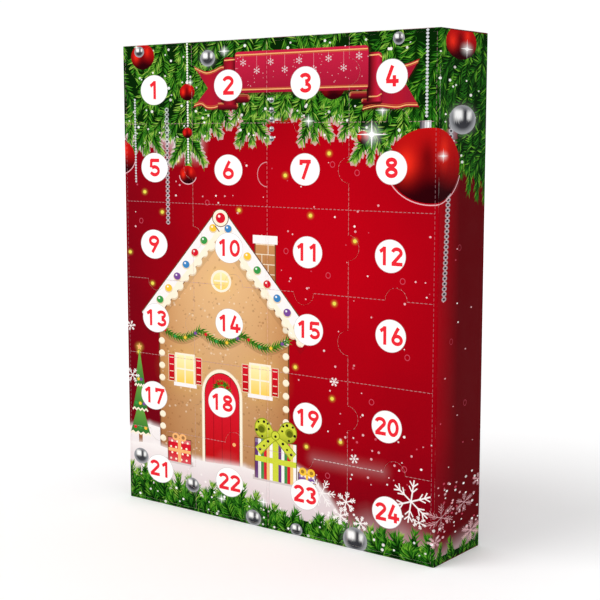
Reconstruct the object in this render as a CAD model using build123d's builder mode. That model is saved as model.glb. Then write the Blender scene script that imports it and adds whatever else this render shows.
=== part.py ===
from build123d import *
import os

# Advent calendar: a standing carton whose front panel is cut into a grid of numbered doors.
# A grid of slotted card strips behind the doors makes one compartment for each of them.
# The front faces -Y, and the origin is the middle of the bottom face.

# Outside of the carton
width = 280.0
depth = 60.0
height = 350.0

# Grid of doors
columns = 4
rows = 6

# Carton board and its folds
board = 0.8
inner_fold_radius = 0.4
end_edge_share = 0.6

# Strips of the front panel that stay when every door is open
border = 2.4
spine = 2.4

# Cuts round the doors, and the half-moon finger tabs, whose places are shares of a cell.
# The side tabs are placed from the top, for the upper and the lower row of a block of doors.
# The row tabs are placed from the left, for the left and the right column of a block.
kerf = 0.3
crease_gap = 0.3
tab_radius = 8.6
side_tab_shares = (0.435, 0.545)
row_tab_shares = (0.46, 0.55)

# Flaps that close the carton
inner_flap_depth = 45.0
dust_flap_length = 52.0
dust_flap_corner = 6.0
seam_flap_width = 15.0
seam_flap_slant = 4.0
flap_fit = 0.2

# Slotted card grid
card = 1.0
slot_fit = 0.15
grid_fit = 0.25
door_clearance = 0.4

# Places that follow from the sizes above
cell_width = width / columns
cell_height = height / rows
left = -width / 2
front = -depth / 2
back = depth / 2
outer_fold_radius = inner_fold_radius + board
end_edge_radius = board * end_edge_share
front_plane = Plane.XZ.offset(depth / 2)
inside_front = front + board + door_clearance
end_stack = 3 * board
grid_front = inside_front
grid_back = back - 2 * board - grid_fit
grid_depth = grid_back - grid_front
grid_middle = (grid_front + grid_back) / 2
grid_height = height - 2 * end_stack - 2 * grid_fit
grid_width = width - 2 * board - 2 * grid_fit
slot_width = card + 2 * slot_fit
slot_length = grid_depth / 2 + slot_fit

os.makedirs("parts", exist_ok=True)


def save(piece, name):
    """Labels a finished piece and writes it under its own name."""
    piece.label = name
    export_step(piece, f"parts/{name}.step")


def strip_beside(line):
    """Width of front board that stays on one side of a hinge line: the border or half the spine."""
    return border if line in (0, columns) else spine / 2


def door_sides(column):
    """Left and right edge of the doors in a column. Even columns hinge on the left, odd on the right."""
    left_line = left + column * cell_width
    right_line = left_line + cell_width
    if column % 2 == 0:
        return left_line + strip_beside(column) + crease_gap, right_line - kerf / 2
    return left_line + kerf / 2, right_line - strip_beside(column + 1) - crease_gap


def door_ends(row):
    """Lower and upper edge of the doors in a row, with row 0 at the top."""
    upper_line = height - row * cell_height
    lower_line = upper_line - cell_height
    upper = upper_line - (border + kerf if row == 0 else kerf / 2)
    lower = lower_line + (border + kerf if row == rows - 1 else kerf / 2)
    return lower, upper


def half_moons(row, column):
    """Centres of a door's two half-moons: one on its free side, one on the line inside its block."""
    free_line = column + 1 if column % 2 == 0 else column
    block_line = row + 1 if row % 2 == 0 else row
    side = (left + free_line * cell_width, height - (row + side_tab_shares[row % 2]) * cell_height)
    end = (left + (column + row_tab_shares[column % 2]) * cell_width, height - block_line * cell_height)
    return side, end


# Carton sleeve: a folded tube, its front panel cut away where the doors are
field_width = width / 2 - border - spine / 2
field_height = height - 2 * border
field_middle = (left + border - spine / 2) / 2

with BuildPart() as carton_sleeve:
    with BuildSketch(Plane.XY.offset(board)):
        RectangleRounded(width, depth, outer_fold_radius)
        RectangleRounded(width - 2 * board, depth - 2 * board, inner_fold_radius, mode=Mode.SUBTRACT)
    extrude(amount=height - 2 * board)
    with BuildSketch(front_plane):
        with Locations((field_middle, height / 2), (-field_middle, height / 2)):
            Rectangle(field_width, field_height)
    extrude(amount=-board, mode=Mode.SUBTRACT)
save(carton_sleeve.part, "carton_sleeve")

# Doors, numbered along the rows from the top left.
# Those on one diagonal of a block of four have tabs, and their neighbours have the notches.
for row in range(rows):
    for column in range(columns):
        door_left, door_right = door_sides(column)
        door_lower, door_upper = door_ends(row)
        middle = ((door_left + door_right) / 2, (door_lower + door_upper) / 2)
        with BuildPart() as door:
            with BuildSketch(front_plane):
                with Locations(middle):
                    Rectangle(door_right - door_left, door_upper - door_lower)
                with Locations(*half_moons(row, column)):
                    if (row + column) % 2 == 0:
                        Circle(tab_radius - kerf / 2)
                    else:
                        Circle(tab_radius + kerf / 2, mode=Mode.SUBTRACT)
            extrude(amount=-board)
        save(door.part, f"door_{row * columns + column + 1:02d}")

# Ends of the carton, each closed by an outer panel, an inner flap and two dust flaps.
# Each end is made from its outer face inwards, and the bottom is the top turned over.
inner_flap_middle = back - board - flap_fit - inner_flap_depth / 2
dust_flap_depth = back - board - flap_fit - inside_front
dust_flap_middle = inside_front + dust_flap_depth / 2

for end, outer_face, inwards in (("top", height, -1), ("bottom", 0, 1)):
    with BuildPart() as end_panel:
        with BuildSketch(Plane.XY.offset(outer_face)):
            RectangleRounded(width, depth, outer_fold_radius)
        extrude(amount=inwards * board)
        outer_rim = end_panel.edges().group_by(Axis.Z)[-1 if end == "top" else 0]
        fillet(outer_rim, radius=end_edge_radius)
    save(end_panel.part, f"{end}_end_panel")

    with BuildPart() as inner_flap:
        with BuildSketch(Plane.XY.offset(outer_face + inwards * board)):
            with Locations((0, inner_flap_middle)):
                Rectangle(width - 2 * board - 2 * flap_fit, inner_flap_depth)
        extrude(amount=inwards * board)
    save(inner_flap.part, f"{end}_inner_flap")

    for side, towards in (("left", -1), ("right", 1)):
        flap_middle = towards * (width / 2 - board - flap_fit - dust_flap_length / 2)
        with BuildPart() as dust_flap:
            with BuildSketch(Plane.XY.offset(outer_face + 2 * inwards * board)):
                with Locations((flap_middle, dust_flap_middle)):
                    Rectangle(dust_flap_length, dust_flap_depth)
            extrude(amount=inwards * board)
            upright_edges = dust_flap.edges().filter_by(Axis.Z).sort_by(Axis.X)
            free_corners = upright_edges[-2:] if side == "left" else upright_edges[:2]
            chamfer(free_corners, length=dust_flap_corner)
        save(dust_flap.part, f"{end}_dust_flap_{side}")

# Flap of the long glue seam, flat against the inside of the back panel at its left edge
seam_left = left + board + inner_fold_radius
seam_right = seam_left + seam_flap_width
seam_lower = end_stack + grid_fit
seam_upper = height - end_stack - grid_fit

with BuildPart() as glue_seam_flap:
    with BuildSketch(Plane.XZ.offset(board - back)):
        with BuildLine():
            Polyline(
                (seam_left, seam_lower),
                (seam_right, seam_lower + seam_flap_slant),
                (seam_right, seam_upper - seam_flap_slant),
                (seam_left, seam_upper),
                close=True,
            )
        make_face()
    extrude(amount=board)
save(glue_seam_flap.part, "glue_seam_flap")

# Uprights of the card grid, slotted from the front, one behind each line between two columns
for line in range(1, columns):
    with BuildPart() as upright:
        with BuildSketch(Plane.YZ.offset(left + line * cell_width - card / 2)):
            with Locations((grid_middle, height / 2)):
                Rectangle(grid_depth, grid_height)
            with Locations((grid_front + slot_length / 2, height / 2)):
                with GridLocations(0, cell_height, 1, rows - 1):
                    Rectangle(slot_length, slot_width, mode=Mode.SUBTRACT)
        extrude(amount=card)
    save(upright.part, f"divider_upright_{line}")

# Shelves of the card grid, slotted from the back, one behind each line between two rows
for line in range(1, rows):
    with BuildPart() as shelf:
        with BuildSketch(Plane.XY.offset(height - line * cell_height - card / 2)):
            with Locations((0, grid_middle)):
                Rectangle(grid_width, grid_depth)
            with Locations((0, grid_back - slot_length / 2)):
                with GridLocations(cell_width, 0, columns - 1, 1):
                    Rectangle(slot_width, slot_length, mode=Mode.SUBTRACT)
        extrude(amount=card)
    save(shelf.part, f"divider_shelf_{line}")
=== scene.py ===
import cmath
import math
import random

import bmesh
import bpy
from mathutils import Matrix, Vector
from mathutils.geometry import delaunay_2d_cdt


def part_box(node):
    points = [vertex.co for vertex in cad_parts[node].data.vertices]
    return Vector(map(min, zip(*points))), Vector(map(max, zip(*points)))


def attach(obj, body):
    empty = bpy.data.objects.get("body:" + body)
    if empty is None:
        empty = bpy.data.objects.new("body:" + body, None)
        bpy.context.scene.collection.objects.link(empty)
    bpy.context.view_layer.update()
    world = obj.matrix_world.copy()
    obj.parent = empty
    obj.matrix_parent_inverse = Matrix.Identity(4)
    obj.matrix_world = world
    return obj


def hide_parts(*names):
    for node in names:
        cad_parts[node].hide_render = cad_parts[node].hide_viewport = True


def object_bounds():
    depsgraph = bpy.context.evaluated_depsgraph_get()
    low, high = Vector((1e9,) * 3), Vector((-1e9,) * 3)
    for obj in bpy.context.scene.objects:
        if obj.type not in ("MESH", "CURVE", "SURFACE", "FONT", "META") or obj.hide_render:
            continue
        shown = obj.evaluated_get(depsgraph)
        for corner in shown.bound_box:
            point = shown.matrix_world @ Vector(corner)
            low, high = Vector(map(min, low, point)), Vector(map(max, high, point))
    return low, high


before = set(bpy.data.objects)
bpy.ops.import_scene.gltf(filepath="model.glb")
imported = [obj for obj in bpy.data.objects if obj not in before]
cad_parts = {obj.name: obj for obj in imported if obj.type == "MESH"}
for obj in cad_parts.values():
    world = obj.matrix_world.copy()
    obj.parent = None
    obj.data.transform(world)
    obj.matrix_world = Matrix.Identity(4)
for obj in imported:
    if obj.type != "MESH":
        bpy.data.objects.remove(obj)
cad_low, cad_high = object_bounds()

# Sizes from the frame. All of the print and the flat board is in millimetres
MM = 0.001
LEFT, FRONT, BOTTOM = cad_low
SIZE = cad_high - cad_low
WIDTH, DEPTH, HEIGHT = (length / MM for length in SIZE)
COLUMNS, ROWS = 4, 6
CELL_WIDTH = WIDTH / COLUMNS
CELL_HEIGHT = HEIGHT / ROWS
BOARD = (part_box("door_01")[1].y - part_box("door_01")[0].y) / MM
BORDER = (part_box("door_01")[0].x - LEFT) / MM
FOLD_RADIUS = 1.5 * BOARD
KERF = 0.12
MERGE = 0.001

# A place on the flat blank is one complex number: along the board from the left edge of the front, and up.
# The right side and the back follow the front, and the left side lies before it.
BACK_START = WIDTH + DEPTH
BLANK_END = BACK_START + WIDTH
PRINT_START = -DEPTH - FOLD_RADIUS


def on_front(u, v):
    """The place at shares u from the left and v from the top of the front."""
    return complex(u * WIDTH, (1 - v) * HEIGHT)


def on_side(u, v):
    """The same on the right side, with u from its front edge."""
    return complex(WIDTH + u * DEPTH, (1 - v) * HEIGHT)


# Colours of the inks


def ink(red, green, blue):
    """A printed colour, given as it looks on a screen, as the linear values that Blender uses."""
    parts = (red / 255, green / 255, blue / 255)
    return tuple(part / 12.92 if part < 0.04045 else ((part + 0.055) / 1.055) ** 2.4 for part in parts)


WHITE = ink(252, 252, 250)
SNOW = ink(246, 240, 238)
SNOW_SHADE = ink(206, 188, 194)
FROST = ink(226, 206, 208)
ROSE_WHITE = ink(238, 190, 196)
PINK = ink(205, 80, 100)
BLACK = ink(24, 20, 20)
NUMBER_RED = ink(235, 42, 54)
DISC_EDGE = ink(196, 190, 192)
PERFORATION = ink(222, 168, 176)
SILVER = ink(206, 208, 212)
SILVER_HAZE = ink(150, 140, 146)
SILVER_DARK = ink(40, 40, 46)
GLOW = ink(232, 222, 84)
GOLD = ink(244, 180, 114)
GOLD_DEEP = ink(190, 96, 54)
BAUBLE_LIGHT = ink(240, 44, 26)
BAUBLE_RED = ink(186, 14, 16)
BAUBLE_DARK = ink(44, 0, 6)
RIBBON_LIGHT = ink(198, 32, 66)
RIBBON = ink(176, 22, 42)
RIBBON_FOOT = ink(160, 22, 48)
RIBBON_DARK = ink(120, 14, 28)
RIBBON_SHADE = ink(58, 4, 12)
FIR_SHADOW = ink(5, 36, 3)
FIR_TONES = (
    (ink(2, 38, 3), ink(38, 108, 22)),
    (ink(4, 52, 5), ink(58, 142, 30)),
    (ink(8, 68, 6), ink(88, 166, 42)),
    (ink(12, 78, 8), ink(120, 188, 52)),
    (ink(26, 98, 10), ink(176, 216, 88)),
)
DEEP_FIR_TONES = (FIR_TONES[3], FIR_TONES[0], FIR_TONES[0], FIR_TONES[1])
GINGER_LIGHT = ink(228, 182, 130)
GINGER = ink(204, 146, 92)
GINGER_DARK = ink(150, 94, 52)
GINGER_LINE = ink(104, 62, 36)
CREAM = ink(250, 238, 214)
CREAM_SHADE = ink(226, 204, 172)
WINDOW_LIGHT = ink(252, 206, 90)
WINDOW_PALE = ink(255, 240, 180)
TREE_DARK = ink(38, 110, 46)
TREE_LIGHT = ink(120, 176, 70)
CANDY_TONES = (ink(214, 24, 44), ink(56, 150, 70), ink(246, 196, 60), ink(120, 74, 150), ink(60, 130, 190))
STRIPE_TONES = (
    ink(108, 62, 128), ink(248, 244, 238), ink(66, 140, 74), ink(214, 30, 48),
    ink(236, 200, 120), ink(248, 244, 238), ink(178, 70, 120), ink(90, 150, 170),
)
BOW = ink(206, 214, 62)
BOW_SHADE = ink(142, 152, 34)
BOW_DEEP = ink(96, 104, 20)
BOARD_WHITE = ink(226, 220, 212)


def held(share):
    """A share held between 0 and 1."""
    return min(max(share, 0.0), 1.0)


def blend(one, other, share):
    """A colour between two."""
    share = held(share)
    return tuple(a + (b - a) * share for a, b in zip(one, other))


def rise_colour(low, high, lower, upper):
    """A colour that runs from one at a lower height to another at an upper height."""
    return lambda place: blend(low, high, (place.imag - lower) / (upper - lower))


# Outlines on the blank


def polar(length, degrees):
    """A step of some length in some direction."""
    return cmath.rect(length, math.radians(degrees))


def stretched(step, wide, tall=1.0):
    """A step made wider or taller, or mirrored where wide is less than 0."""
    return complex(step.real * wide, step.imag * tall)


def arc(centre, radius, start, end, steps, wide=1.0):
    """Points on an arc, with angles in degrees, and wide the share of its width to its height."""
    angles = (start + (end - start) * step / steps for step in range(steps + 1))
    return [centre + stretched(polar(radius, angle), wide) for angle in angles]


SIDE_WIDE = 1.8
CORNER_START = 0.95 * WIDTH
CORNER_WIDE = 1.33
LEFT_WIDE = 1.27
WIDE_LOSS = 0.2


def wide_share(centre):
    """Width to height of a printed round: they get wider to the left, and widest round the corner."""
    if WIDTH < centre.real < BACK_START:
        return SIDE_WIDE
    if CORNER_START < centre.real < BACK_START:
        return CORNER_WIDE
    return LEFT_WIDE - WIDE_LOSS * held(centre.real / WIDTH)


def circle(centre, radius, steps=24):
    """A printed round."""
    return arc(centre, radius, 0, 360, steps, wide_share(centre))[:-1]


def from_middle(place, centre, radius):
    """Where a place lies in a printed round, with its rim at 1."""
    step = (place - centre) / radius
    return step.real / wide_share(centre), step.imag


def smooth(points, steps=5):
    """A smooth path through a few points."""
    ends = [points[0], *points, points[-1]]
    path = []
    for a, b, c, d in zip(ends, ends[1:], ends[2:], ends[3:]):
        bend, twist = a - 2.5 * b + 2 * c - d / 2, 1.5 * (b - c) + (d - a) / 2
        for step in range(steps):
            t = step / steps
            path.append(b + t * (c - a) / 2 + t**2 * bend + t**3 * twist)
    return path + [points[-1]]


def box(low, high):
    return [low, complex(high.real, low.imag), high, complex(low.real, high.imag)]


def spans(low, high):
    """The steps from one corner of a box along its foot and up its side."""
    return (high - low).real, 1j * (high - low).imag


def rounded_box(low, high, radius, steps=4):
    """A box with round corners."""
    centres = box(low + radius * (1 + 1j), high - radius * (1 + 1j))
    corners = zip(centres, (180, 270, 360, 450))
    return [point for centre, start in corners for point in arc(centre, radius, start, start + 90, steps)]


def band(path, width, end_width=None):
    """A strip of even or tapering width along a path of points."""
    last = len(path) - 1
    end_width = end_width or width
    near, far = [], []
    for number, point in enumerate(path):
        along = path[min(number + 1, last)] - path[max(number - 1, 0)]
        across = 1j * along / abs(along) * (width + (end_width - width) * number / last) / 2
        near.append(point + across)
        far.append(point - across)
    return near + far[::-1]


def edges_of(outline):
    return list(zip(outline, outline[1:] + outline[:1]))


def counterclockwise(outline):
    """The same outline, turned round if need be, because its inside has to lie on its left."""
    area = sum((a.conjugate() * b).imag for a, b in edges_of(outline))
    return outline if area > 0 else outline[::-1]


def limits(outline):
    """The lower left and upper right corners of the box round an outline."""
    along, up = [p.real for p in outline], [p.imag for p in outline]
    return complex(min(along), min(up)), complex(max(along), max(up))


def touching(low, high, shape):
    return (shape.low.real < high.real and shape.high.real > low.real
            and shape.low.imag < high.imag and shape.high.imag > low.imag)


# The artwork: a list of printed shapes, each over the ones before it


class Shape:
    """An outline on the blank, what colours it, and how much of the ink below it covers.

    The colour and the cover are fixed or are worked out from the place.
    A shape with no colour prints nothing, and only gives a gradient more points to run through.
    """

    def __init__(self, outline, colour, cover):
        self.outline, self.colour, self.cover = counterclockwise(outline), colour, cover
        self.opaque = colour is not None and not callable(cover) and cover >= 1
        self.low, self.high = limits(outline)

    def over(self, place, below):
        """Premultiplied ink and cover at a place, once this shape is printed over what is below."""
        colour = self.colour(place) if callable(self.colour) else self.colour
        cover = self.cover(place) if callable(self.cover) else self.cover
        return tuple(under * (1 - cover) + part * cover for under, part in zip(below, (*colour, 1.0)))


artwork = []


def draw(outline, colour, cover=1.0):
    artwork.append(Shape(outline, colour, cover))


def draw_line(path, width, colour, cover=1.0, end_width=None):
    draw(band(path, width, end_width), colour, cover)


def draw_round(centre, radius, colour, cover=1.0, steps=24, rings=0):
    """A printed disc, with inner rings of points where its colour or cover runs out smoothly."""
    draw(circle(centre, radius, steps), colour, cover)
    for ring in range(rings):
        draw(circle(centre, radius * (ring + 1) / (rings + 1), steps), None, 0)


def draw_rounds(centre, rounds, size=1):
    """Rounds over each other: each a step from the centre, a radius, a colour, its points and its cover."""
    for step, radius, colour, steps, *cover in rounds:
        draw_round(centre + size * step, size * radius, colour, *cover, steps=steps)


RING_RADIUS = 1.9


def draw_ring(centre, width, cover):
    """A thin printed circle, as two half bands."""
    for start in (0, 180):
        draw_line(arc(centre, RING_RADIUS, start, start + 180, 8), width, PINK, cover)


def draw_glow(centre, radius, colour, most):
    """Light that fades from its middle to nothing at its rim."""

    def cover(place):
        return most * max(1 - math.hypot(*from_middle(place, centre, radius)), 0) ** 2

    draw_round(centre, radius, colour, cover, steps=20, rings=5)


def draw_haze(root, tip, radius, colour, most):
    """Soft light along a line from root to tip, which fades out to all sides."""
    run = tip - root
    heading = math.degrees(cmath.phase(run))

    def cover(place):
        nearest = root + run * held(((place - root) / run).real)
        return most * max(1 - abs(place - nearest) / radius, 0) ** 2

    for ring in (1.0, 0.75, 0.5, 0.25):
        outline = arc(tip, radius * ring, heading - 90, heading + 90, 8)
        outline += arc(root, radius * ring, heading + 90, heading + 270, 8)
        draw(outline, colour if ring == 1 else None, cover if ring == 1 else 0)


def sparkle(centre, reach):
    """A four-pointed star of light with a soft glow."""
    draw_glow(centre, reach * 0.75, WHITE, 0.85)
    for quarter, share in enumerate((1.0, 0.8, 1.0, 0.8)):
        draw([centre + reach * step * 1j**quarter for step in (-0.06j, share, 0.06j)], WHITE, 0.95)
    draw_round(centre, reach * 0.14, WHITE, steps=12)


def somewhere(chance, low, high):
    """A place anywhere in a box."""
    return complex(chance.uniform(low.real, high.real), chance.uniform(low.imag, high.imag))


# Baubles and bead chains


def red_bauble(centre, radius, ring=False):
    """A glossy ball: two tall light patches above, a dark room mirrored below, and a darker rim."""

    def colour(place):
        x, z = from_middle(place, centre, radius)
        room = math.exp(-(x - 0.05) ** 2 / 1.0 - (z + 0.62) ** 2 / 0.45)
        gap = math.exp(-(x + 0.06) ** 2 / 0.035 - (z - 0.3) ** 2 / 0.16)
        rim = 0.25 * (1 - z) * (x * x + z * z) ** 2
        left = math.exp(-(x + 0.56) ** 2 / 0.045 - (z - 0.05) ** 2 / 0.14)
        right = math.exp(-(x - 0.4) ** 2 / 0.025 - (z - 0.38) ** 2 / 0.12)
        shade = blend(BAUBLE_RED, BAUBLE_DARK, 0.95 * room + 0.5 * gap + rim)
        return blend(shade, BAUBLE_LIGHT, left + 0.85 * right)

    rings = 2 if radius < 4 else 8
    draw_round(centre, radius, colour, steps=16 + 4 * rings, rings=rings)
    if ring:
        draw_line(arc(centre, radius * 1.05, 185, 345, 24, wide_share(centre)), 0.7, ROSE_WHITE, 0.85)


def silver_bauble(centre, radius):
    """Mirror-like silver: a dark middle between two white windows, and a pale grey rim."""

    def colour(place):
        x, z = from_middle(place, centre, radius)
        rim = held((math.hypot(x, z) - 0.58) / 0.36)
        left = math.exp(-((x + 0.32) / 0.34) ** 4 - ((z - 0.34) / 0.36) ** 4)
        right = math.exp(-((x - 0.5) / 0.19) ** 4 - ((z - 0.3) / 0.32) ** 4)
        shade = blend(SILVER_DARK, SILVER, 0.01 + 0.52 * rim - 0.06 * z)
        return blend(blend(shade, WHITE, 1.1 * left), WHITE, 0.9 * right)

    if radius > 5:
        draw_glow(centre, radius * 1.5, FROST, 0.7)
    rings = 3 if radius < 4 else 6
    draw_round(centre, radius, colour, steps=16 + 3 * rings, rings=rings)


def bead_chain(top, bottom, radius, gap, colour=SILVER, mark=None):
    """A hanging row of beads, each with a dark middle if it has a mark, on a thin thread."""
    draw_line([top, bottom], radius * 0.5, colour, 0.6)
    count = int(abs(bottom - top) / gap)
    for number in range(count):
        centre = top + (bottom - top) * (number + 0.5) / count
        draw_round(centre, radius, colour, 0.55 if mark else 0.95, steps=10)
        if mark:
            draw_round(centre, radius * 0.5, mark, steps=6)


# Fir sprigs

NEEDLE_LENGTH = 9.8
NEEDLE_WIDTH = 1.5
NEEDLE_STEP = 1.75
HAIR = 0.00001
NEEDLE_CORNERS = ((0, 0), (0.4, -0.5), (1, 0), (0.4, 0.5))
TIP_NEEDLE_SHARE = 0.68


def needle_lean(share):
    """How far needles lean out, in degrees, at a share of the way along their stem."""
    return 60 - 36 * share


def needle_reach(length, share):
    return length * (1 - 0.25 * share)


def needle(root, angle, length, width, tones):
    """One slim needle, darker at its root and along one side. Its angle is in radians."""
    way = cmath.rect(1, angle)

    def tone(place):
        step = (place - root) / way
        return blend(*tones, 0.1 + 0.6 * step.real / length + 1.3 * step.imag / width)

    draw([root + way * complex(length * along, width * aside) for along, aside in NEEDLE_CORNERS], tone)


def fir_shadow(root, stem, half_width):
    """The dark inside of a sprig or a branch."""
    across = 1j * stem / abs(stem) * half_width
    draw([root, root + stem * 0.42 + across, root + stem, root + stem * 0.42 - across], FIR_SHADOW)


def needle_count(stem):
    """How many needles fit on one side of a stem. A hair is added, so that no rounding takes one away."""
    return int(abs(stem) / NEEDLE_STEP + HAIR)


def rime_outline(root, stem, length):
    """The outline of the rime on a sprig, with a point for every other needle and one at its tip."""
    count = 2 * max(needle_count(stem) // 2, 2)
    way = stem / abs(stem)
    sides = {1: [], -1: []}
    for number in range(count):
        share = number / count
        reach = (needle_reach(length, share) + 0.5) * (0.75 if number % 2 else 1)
        for side in sides:
            sides[side].append(root + stem * share + way * polar(reach, side * needle_lean(share)))
    end = root + stem + way * (length * TIP_NEEDLE_SHARE - 1)
    return [root] + sides[-1] + [end] + sides[1][::-1]


def sprig(root, tip, chance, tones, length=NEEDLE_LENGTH, rime=None):
    """A fir sprig: a stem from root to tip with needles on both sides, over its own dark shadow."""
    stem = tip - root
    heading = cmath.phase(stem)
    if rime is not None:
        rime.append(rime_outline(root, stem, length))
    fir_shadow(root, stem, length * 0.55)
    count = max(needle_count(stem), 3)
    for number in range(count):
        share = (number + chance.random() * 0.5) / count
        lean = math.radians(needle_lean(share) + chance.uniform(-8, 8))
        for side in (-1, 1):
            reach = needle_reach(length, share) * chance.uniform(0.8, 1.12)
            wide = NEEDLE_WIDTH * chance.uniform(0.8, 1.15)
            needle(root + stem * share, heading + side * lean, reach, wide, chance.choice(tones))
    for turn in (-0.24, 0.22, 0.0):
        needle(tip - 2 * stem / abs(stem), heading + turn, length * TIP_NEEDLE_SHARE, NEEDLE_WIDTH, tones[-1])


def branch(root, tip, chance, tones, twigs=1, rime=None):
    """A fir branch: pairs of side twigs, then the middle sprig over them."""
    stem = tip - root
    fir_shadow(root, stem * 0.92, abs(stem) * 0.34)
    for number in range(twigs):
        share = 0.2 + 0.45 * number / max(twigs - 1, 1)
        base = root + stem * share
        for side in (-1, 1):
            way = stem * polar(0.62 - 0.3 * share, side * (36 + chance.uniform(-6, 6)))
            sprig(base, base + way, chance, tones, rime=rime)
    sprig(root, tip, chance, tones, rime=rime)


# Snowflakes, snow and gold lights


def snowflake(centre, radius, width, colour, turn, cover, leaves=(0.42, 0.68)):
    """A flake of six arms, each with pairs of side branches."""
    bars = [(0, 1, width)]
    for leaf in leaves:
        reach = 0.26 * (1.15 - leaf * 0.4)
        bars += [(leaf, complex(leaf + reach, side * 0.2), width * 0.85) for side in (-1, 1)]
    for arm in range(6):
        way = polar(radius, turn + 60 * arm)
        for start, end, thickness in bars:
            path = [centre + stretched(way * step, wide_share(centre)) for step in (start, end)]
            draw_line(path, thickness, colour, cover)


def snow_dots(chance, count, low, high, smallest, largest, tones=(WHITE, ROSE_WHITE, ROSE_WHITE, PINK)):
    """Small round flakes of several pinks and whites, spread over a part of the blank."""
    for _ in range(count):
        place = somewhere(chance, low, high)
        tone = chance.choice(tones)
        draw_round(place, chance.uniform(smallest, largest), tone, chance.uniform(0.6, 1.0), steps=10)


GLOW_SHARES = (
    (0.075, 0.312), (0.197, 0.244), (0.408, 0.343), (0.692, 0.226), (0.558, 0.270), (0.636, 0.347),
    (0.769, 0.392), (0.709, 0.516), (0.589, 0.652), (0.016, 0.445), (0.139, 0.354), (0.099, 0.510),
    (0.043, 0.666), (0.703, 0.705), (0.562, 0.755), (0.729, 0.789), (0.624, 0.811),
)
RING_SHARES = (
    (0.702, 0.247), (0.774, 0.262), (0.560, 0.420), (0.690, 0.462), (0.905, 0.462), (0.655, 0.560),
    (0.920, 0.605), (0.820, 0.700), (0.690, 0.862), (0.060, 0.375), (0.300, 0.330), (0.915, 0.820),
)


def sky():
    """Gold lights, small rings and snow on the open red ground."""
    chance = random.Random(5)
    for share in GLOW_SHARES:
        draw_glow(on_front(*share), 3.4, GLOW, 0.75)
        draw_round(on_front(*share), 1.35, GLOW, 0.95, steps=9)
    for share in RING_SHARES:
        draw_ring(on_front(*share), 0.5, 0.8)
    snow_dots(chance, 60, on_front(0.40, 0.72), on_front(0.99, 0.24), 0.35, 0.85)
    snow_dots(chance, 42, on_front(0.62, 0.87), on_front(0.99, 0.72), 0.4, 0.95)
    snow_dots(chance, 16, on_front(0.02, 0.42), on_front(0.40, 0.26), 0.35, 0.8)


# The gingerbread house, its garden and the parcels

WINDOW_HALF = 8.5 + 10.5j
WINDOW_FRAME = 1.6
BOW_DOTS = (
    0.36 + 0.24j, 0.62 + 0.52j, 0.92 + 0.48j, 1.02 + 0.12j, 0.72 - 0.12j, 0.40 - 0.30j, 0.62 - 0.52j,
    0.84 - 0.70j, 0.42 + 0.46j,
)


def draw_panel(middle, half, colour):
    draw(box(middle - half, middle + half), colour)


def red_wood(lower, upper):
    return rise_colour(BAUBLE_RED, CANDY_TONES[0], lower, upper)


def glass_colour(middle, half):
    return rise_colour(WINDOW_LIGHT, WINDOW_PALE, middle.imag - half, middle.imag + half)


def draw_bars(middle, wide, tall):
    """The piped bars of a window, across and up."""
    for reach in (1j * tall, wide):
        draw_line([middle - reach, middle + reach], 1.2, CREAM)


def iced_edge(start, end):
    """Icing along an edge of the roof: a thick band with round drops and a shine on each."""
    drop, count = 3.4, 12
    draw_line([start - 1.1j * drop, end - 1.1j * drop], 2.4 * drop, BLACK, 0.16)
    for number in range(count):
        centre = start + (end - start) * (number + 0.5) / count
        drops = ((-0.6j, 1, CREAM_SHADE, 14), (-0.35j, 0.92, CREAM, 14), (-0.3 - 0.4j, 0.2, WHITE, 8))
        draw_rounds(centre, drops, drop * (0.85 + 0.15 * (number * 5 % 3)))
    draw_line([start, end], 4, CREAM)


def lit_window(middle):
    """A window of warm light with piped icing for its frame and bars, and a shutter each side."""
    wide, tall = WINDOW_HALF.real, WINDOW_HALF.imag
    draw_glow(middle, tall * 2.6, WINDOW_LIGHT, 0.55)
    for side in (-1, 1):
        edge = middle + side * (wide + 5.2)
        draw_panel(edge, 3.4 + 1j * tall, CREAM_SHADE)
        draw_panel(edge, 2.8 + 1j * (tall - 0.6), red_wood(middle.imag - tall, middle.imag + tall))
        for slat in range(4):
            level = edge + 1j * tall * (0.5 * slat - 0.75)
            draw_line([level - 2, level + 2], 0.6, CREAM, 0.8)
    draw_panel(middle, WINDOW_HALF + WINDOW_FRAME * (1 + 1j), CREAM)
    draw_panel(middle, WINDOW_HALF, glass_colour(middle, tall))
    draw_bars(middle, wide, tall)
    sill = middle - 1j * (tall + WINDOW_FRAME)
    draw_line([sill - wide - 3, sill + wide + 3], 2.8, SNOW)


def wreath(path, width, chance, lights):
    """Fir needles along a path, with round lights or berries on them."""
    for a, b in zip(path, path[1:]):
        for lean in (-0.7, 0.7, -0.25, 0.25):
            heading = cmath.phase(b - a) + lean
            needle(a, heading, width * chance.uniform(0.8, 1.2), 1.2, chance.choice(FIR_TONES[1:4]))
    for number, place in enumerate(path[2::4]):
        draw_glow(place, 3, lights[number % len(lights)], 0.5)
        draw_round(place, 1.2, lights[number % len(lights)], steps=10)


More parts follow.
